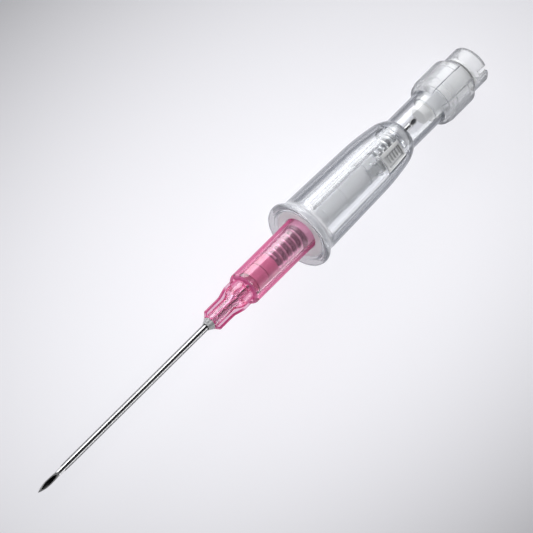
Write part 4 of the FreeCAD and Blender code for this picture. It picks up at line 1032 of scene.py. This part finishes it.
# Painted shade in the bore, near black at the point and lighter towards the rear, and ground faces
# painted lighter towards the rear.
finishes["steel"] = f.surface(
    base_color=f.mix(outside_bore, f.mix(painted_light_rearward, (0.03, 0.03, 0.03), (0.16, 0.16, 0.17)),
                     f.mix(drawn, ground_colour, skin_colour)),
    metallic=1.0, roughness=0.13 + lines * 0.06 + (1 - drawn) * 0.25)
grained("spring_steel", 7.0, (0.70, 0.71, 0.72), (0.80, 0.81, 0.82), 0.42, 0.15, 0.008,
        metallic=0.55)
grained("wire_steel", 7.0, (0.80, 0.81, 0.82), (0.92, 0.93, 0.94), 0.24, 0.14, metallic=1.0)

# %% [markdown]
# ## The soft and the small
# The tube is a slippery clear fluoroplastic. Bending light through so thin a wall would
# only speckle the needle in it, so it is written as a film that is clear from the front,
# with painted shade at its edges, where it turns near black and opaque at a slant. The
# ferrule and the bushing are satin grey. The septum is a mottled
# pink rubber, and the plugs are pressed from white grains, which shows as a coarse sparkle.

# %% Tube, grey, rubber and porous finishes
f = Finish("soft_tube_finish")
haze = f.noise(f.mm((0.2, 1, 1)), 1.5, 2.0)
# Painted shade: the film turns near black and opaque where it is seen at a slant, drawing the
# tube's dark edges.
finishes["soft_tube"] = f.surface(
    base_color=f.mix(haze, (0.08, 0.082, 0.086), (0.12, 0.122, 0.128)),
    roughness=0.08 + haze * 0.06, ior=1.2, alpha=0.04 + f.slant(0.46, 0.76) * 0.92,
    lets_through=(0.97, 0.97, 0.97))
grained("grey_plastic", 8.0, (0.40, 0.405, 0.415), (0.48, 0.485, 0.495), 0.26, 0.12, 0.01,
        coat_weight=0.6, coat_ior=1.8, coat_roughness=0.12)
grained("septum_rubber", 3.0, (0.50, 0.24, 0.33), (0.60, 0.33, 0.42), 0.50, 0.15, 0.02)
f = Finish("porous_plug_finish")
cells = f.node("TexVoronoi", {"feature": "F1"}, {"Vector": f.mm(), "Scale": 4.5})
fine_grain = f.noise(f.mm(), 9.0, 3.0)
finishes["porous_plug"] = f.surface(
    base_color=f.mix(fine_grain, (0.76, 0.76, 0.75), (0.86, 0.86, 0.85)),
    roughness=0.45 + fine_grain * 0.2, normal=f.bump(cells, 0.02, 0.4))

# %% Give each piece and node its finish
for thing in bpy.context.scene.objects:
    if thing.type != "MESH":
        continue
    if "finish" in thing:
        thing.data.materials.clear()
        thing.data.materials.append(finishes[thing["finish"]])
    else:
        for place in thing.material_slots:
            place.material = finishes[place.material.name.split(".")[0]]
    print(thing.name, [place.material.name for place in thing.material_slots])

# %% [markdown]
# ## The floor
# The cannula lies on the rim of its flange and on the lower edges of the cap's wings, so
# the floor runs a little uphill towards the cap while the model stays square to its frame.
# The studio's light pool is painted light: a pale gradient in the floor's own colour that
# falls off away from the object. Camera, mirror and see-through rays get it mostly as a
# painted glow, an emission, so glass shows the same background, and a part of it stays
# ordinary paint, which keeps the shadow.

# %% Floor
def floor_height(x):
    """Height of the floor in millimetres on the line through flange rim and wings."""
    return -FLANGE_R + (x - FLANGE_X - RIM / 2) * FLOOR_RISE


WING_X, WING_LOW, REACH = 61.5, 3.607, 3000.0
FLOOR_RISE = (FLANGE_R - WING_LOW) / (WING_X - FLANGE_X - RIM / 2)
floor_mesh = bpy.data.meshes.new("floor")
corners = [(x * REACH, y * REACH) for x, y in ((-1, -1), (1, -1), (1, 1), (-1, 1))]
corners = [(x * MM, y * MM, floor_height(x) * MM) for x, y in corners]
floor_mesh.from_pydata(corners, [], [(0, 1, 2, 3)])
placed("floor", floor_mesh)

f = Finish("floor_paint")
POOL_X, POOL_Y, POOL_TOP, POOL_MOST = 22.5, -1.6, 1.0, 0.98
ALONG, ACROSS, LEAN = 6.57e-5, 1.745e-4, 3.65e-5
CAMERA_LEAST, GLASS_LEAST = 0.45, 0.10
place = f.mm(shift=(-POOL_X, -POOL_Y, 0.0))
x, y = f.axis(0, place), f.axis(1, place)
# Painted light: the pool's brightness falls off with the distance from the object.
fall = POOL_TOP - x * x * ALONG - y * y * ACROSS - x * y * LEAN


def pool_colour(least):
    """The pool's grey, never under least, with the photograph's faint blue."""
    grey = fall.clamp(least, POOL_MOST)
    return f.node("Mix", {"data_type": "RGBA", "blend_type": "MULTIPLY"},
                  {0: 1.0, 6: (0.987, 0.984, 1.03, 1.0),
                   7: f.node("CombineColor", None, {0: grey, 1: grey, 2: grey})}, out=2)


plain = f.node("BsdfDiffuse", None, {"Color": (0.80, 0.80, 0.81, 1.0)})
camera_ray = f.node("LightPath", out="Is Camera Ray")
glass_ray = (f.node("LightPath", out="Is Glossy Ray")
             + f.node("LightPath", out="Is Transmission Ray")).clamp()
SHADED, GLOW = 0.25, 1.08


def pool(least, glow):
    """The painted light pool as an emitted glow, with a share of ordinary paint that takes the
    shadow.
    """
    painted = f.node("BsdfDiffuse", None, {"Color": pool_colour(least)})
    shining = f.node("Emission", None, {"Color": pool_colour(least), "Strength": glow})
    return f.node("MixShader", None, {0: SHADED, 1: shining, 2: painted})


for_camera, for_glass = pool(CAMERA_LEAST, GLOW), pool(GLASS_LEAST, 1.0)
for_others = f.node("MixShader", None, {0: glass_ray, 1: plain, 2: for_glass})
seen = f.node("MixShader", None, {0: camera_ray, 1: for_others, 2: for_camera})
f.node("OutputMaterial", None, {"Surface": seen})
floor_mesh.materials.append(f.material)

# %% [markdown]
# ## Light
# Clear plastic is lit by what stands round it. Long soft strips at its two sides draw the
# white lines on the needle, the shoulder and the rims, a box behind the cap and a key light
# near the camera fill the rest, and a dark sky overhead leaves dark lines between them.
# Their sum on a level surface is close to plain daylight, so a colour renders about as it
# is written.

# %% Strips and sky
def strip(name, centre, size, watts):
    """Rectangular soft light at centre (mm) that faces the middle of the object."""
    lamp = bpy.data.lights.new(name, "AREA")
    lamp.shape = "RECTANGLE"
    lamp.size, lamp.size_y = size[0] * MM, size[1] * MM
    lamp.energy = watts
    aim = Vector(centre) - Vector((20, 0, 0))
    turn = aim.to_track_quat("Z", "Y").to_matrix().to_4x4()
    placed(name, lamp).matrix_world = Matrix.Translation(Vector(centre) * MM) @ turn


strip("near_strip", (200, 430, 205), (1000, 300), 3.0)
strip("far_strip", (200, -430, 160), (1000, 150), 0.45)
strip("far_line", (160, -380, 50), (900, 50), 0.4)
strip("rear_box", (620, -40, 220), (500, 260), 0.7)
strip("key_box", (-330, 60, 600), (360, 360), 1.3)
world = bpy.data.worlds.new("studio")
world.use_nodes = True
bpy.context.scene.world = world
f = Finish("studio", world.node_tree)
sky = f.axis(2, f.node("TexCoord", out="Generated"))
stops = [(0.0, (0.42, 0.42, 0.44)), (0.30, (0.36, 0.365, 0.38)), (0.60, (0.07, 0.071, 0.075)),
         (0.80, (0.012, 0.012, 0.014))]
shade = f.node("ValToRGB", {"stops": stops}, {"Fac": sky})
backdrop = f.node("Background", None, {"Color": shade, "Strength": 1.0})
f.node("OutputWorld", None, {"Surface": backdrop})

# %% [markdown]
# ## Camera
# The photograph looks down on the object from the needle's side with a long lens, and the
# camera is rolled so that the needle runs from the lower left to the upper right. The lens
# is as long as it can be while a view from any other side still fits the camera's clip
# range.

# %% Camera at the photograph's angle
BACK = Vector((-0.533, 0.065, 0.8435)).normalized()
FIRST_RIGHT = Vector((0.846, 0.041, 0.531)).normalized()
FIRST_UP = BACK.cross(FIRST_RIGHT).normalized()
ROLL = math.radians(44.7)
right = math.cos(ROLL) * FIRST_RIGHT - math.sin(ROLL) * FIRST_UP
up = BACK.cross(right).normalized()
VIEW_WIDTH, LENS, SENSOR = 78.96, 1500.0, 36.0
target = Vector((FLANGE_X, 0, 0)) - 4.17 * right - 4.30 * up
distance = VIEW_WIDTH * LENS / SENSOR
shot = bpy.data.cameras.new("shot")
shot.lens, shot.sensor_width = LENS, SENSOR
shot.clip_start, shot.clip_end = 0.01, 20.0
camera = placed("camera", shot)
axes = Matrix((right, up, BACK)).transposed().to_4x4()
camera.matrix_world = Matrix.Translation((target + BACK * distance) * MM) @ axes
bpy.context.scene.camera = camera
bpy.context.scene.view_settings.view_transform = "Standard"
print("camera", [round(v, 4) for v in camera.location])
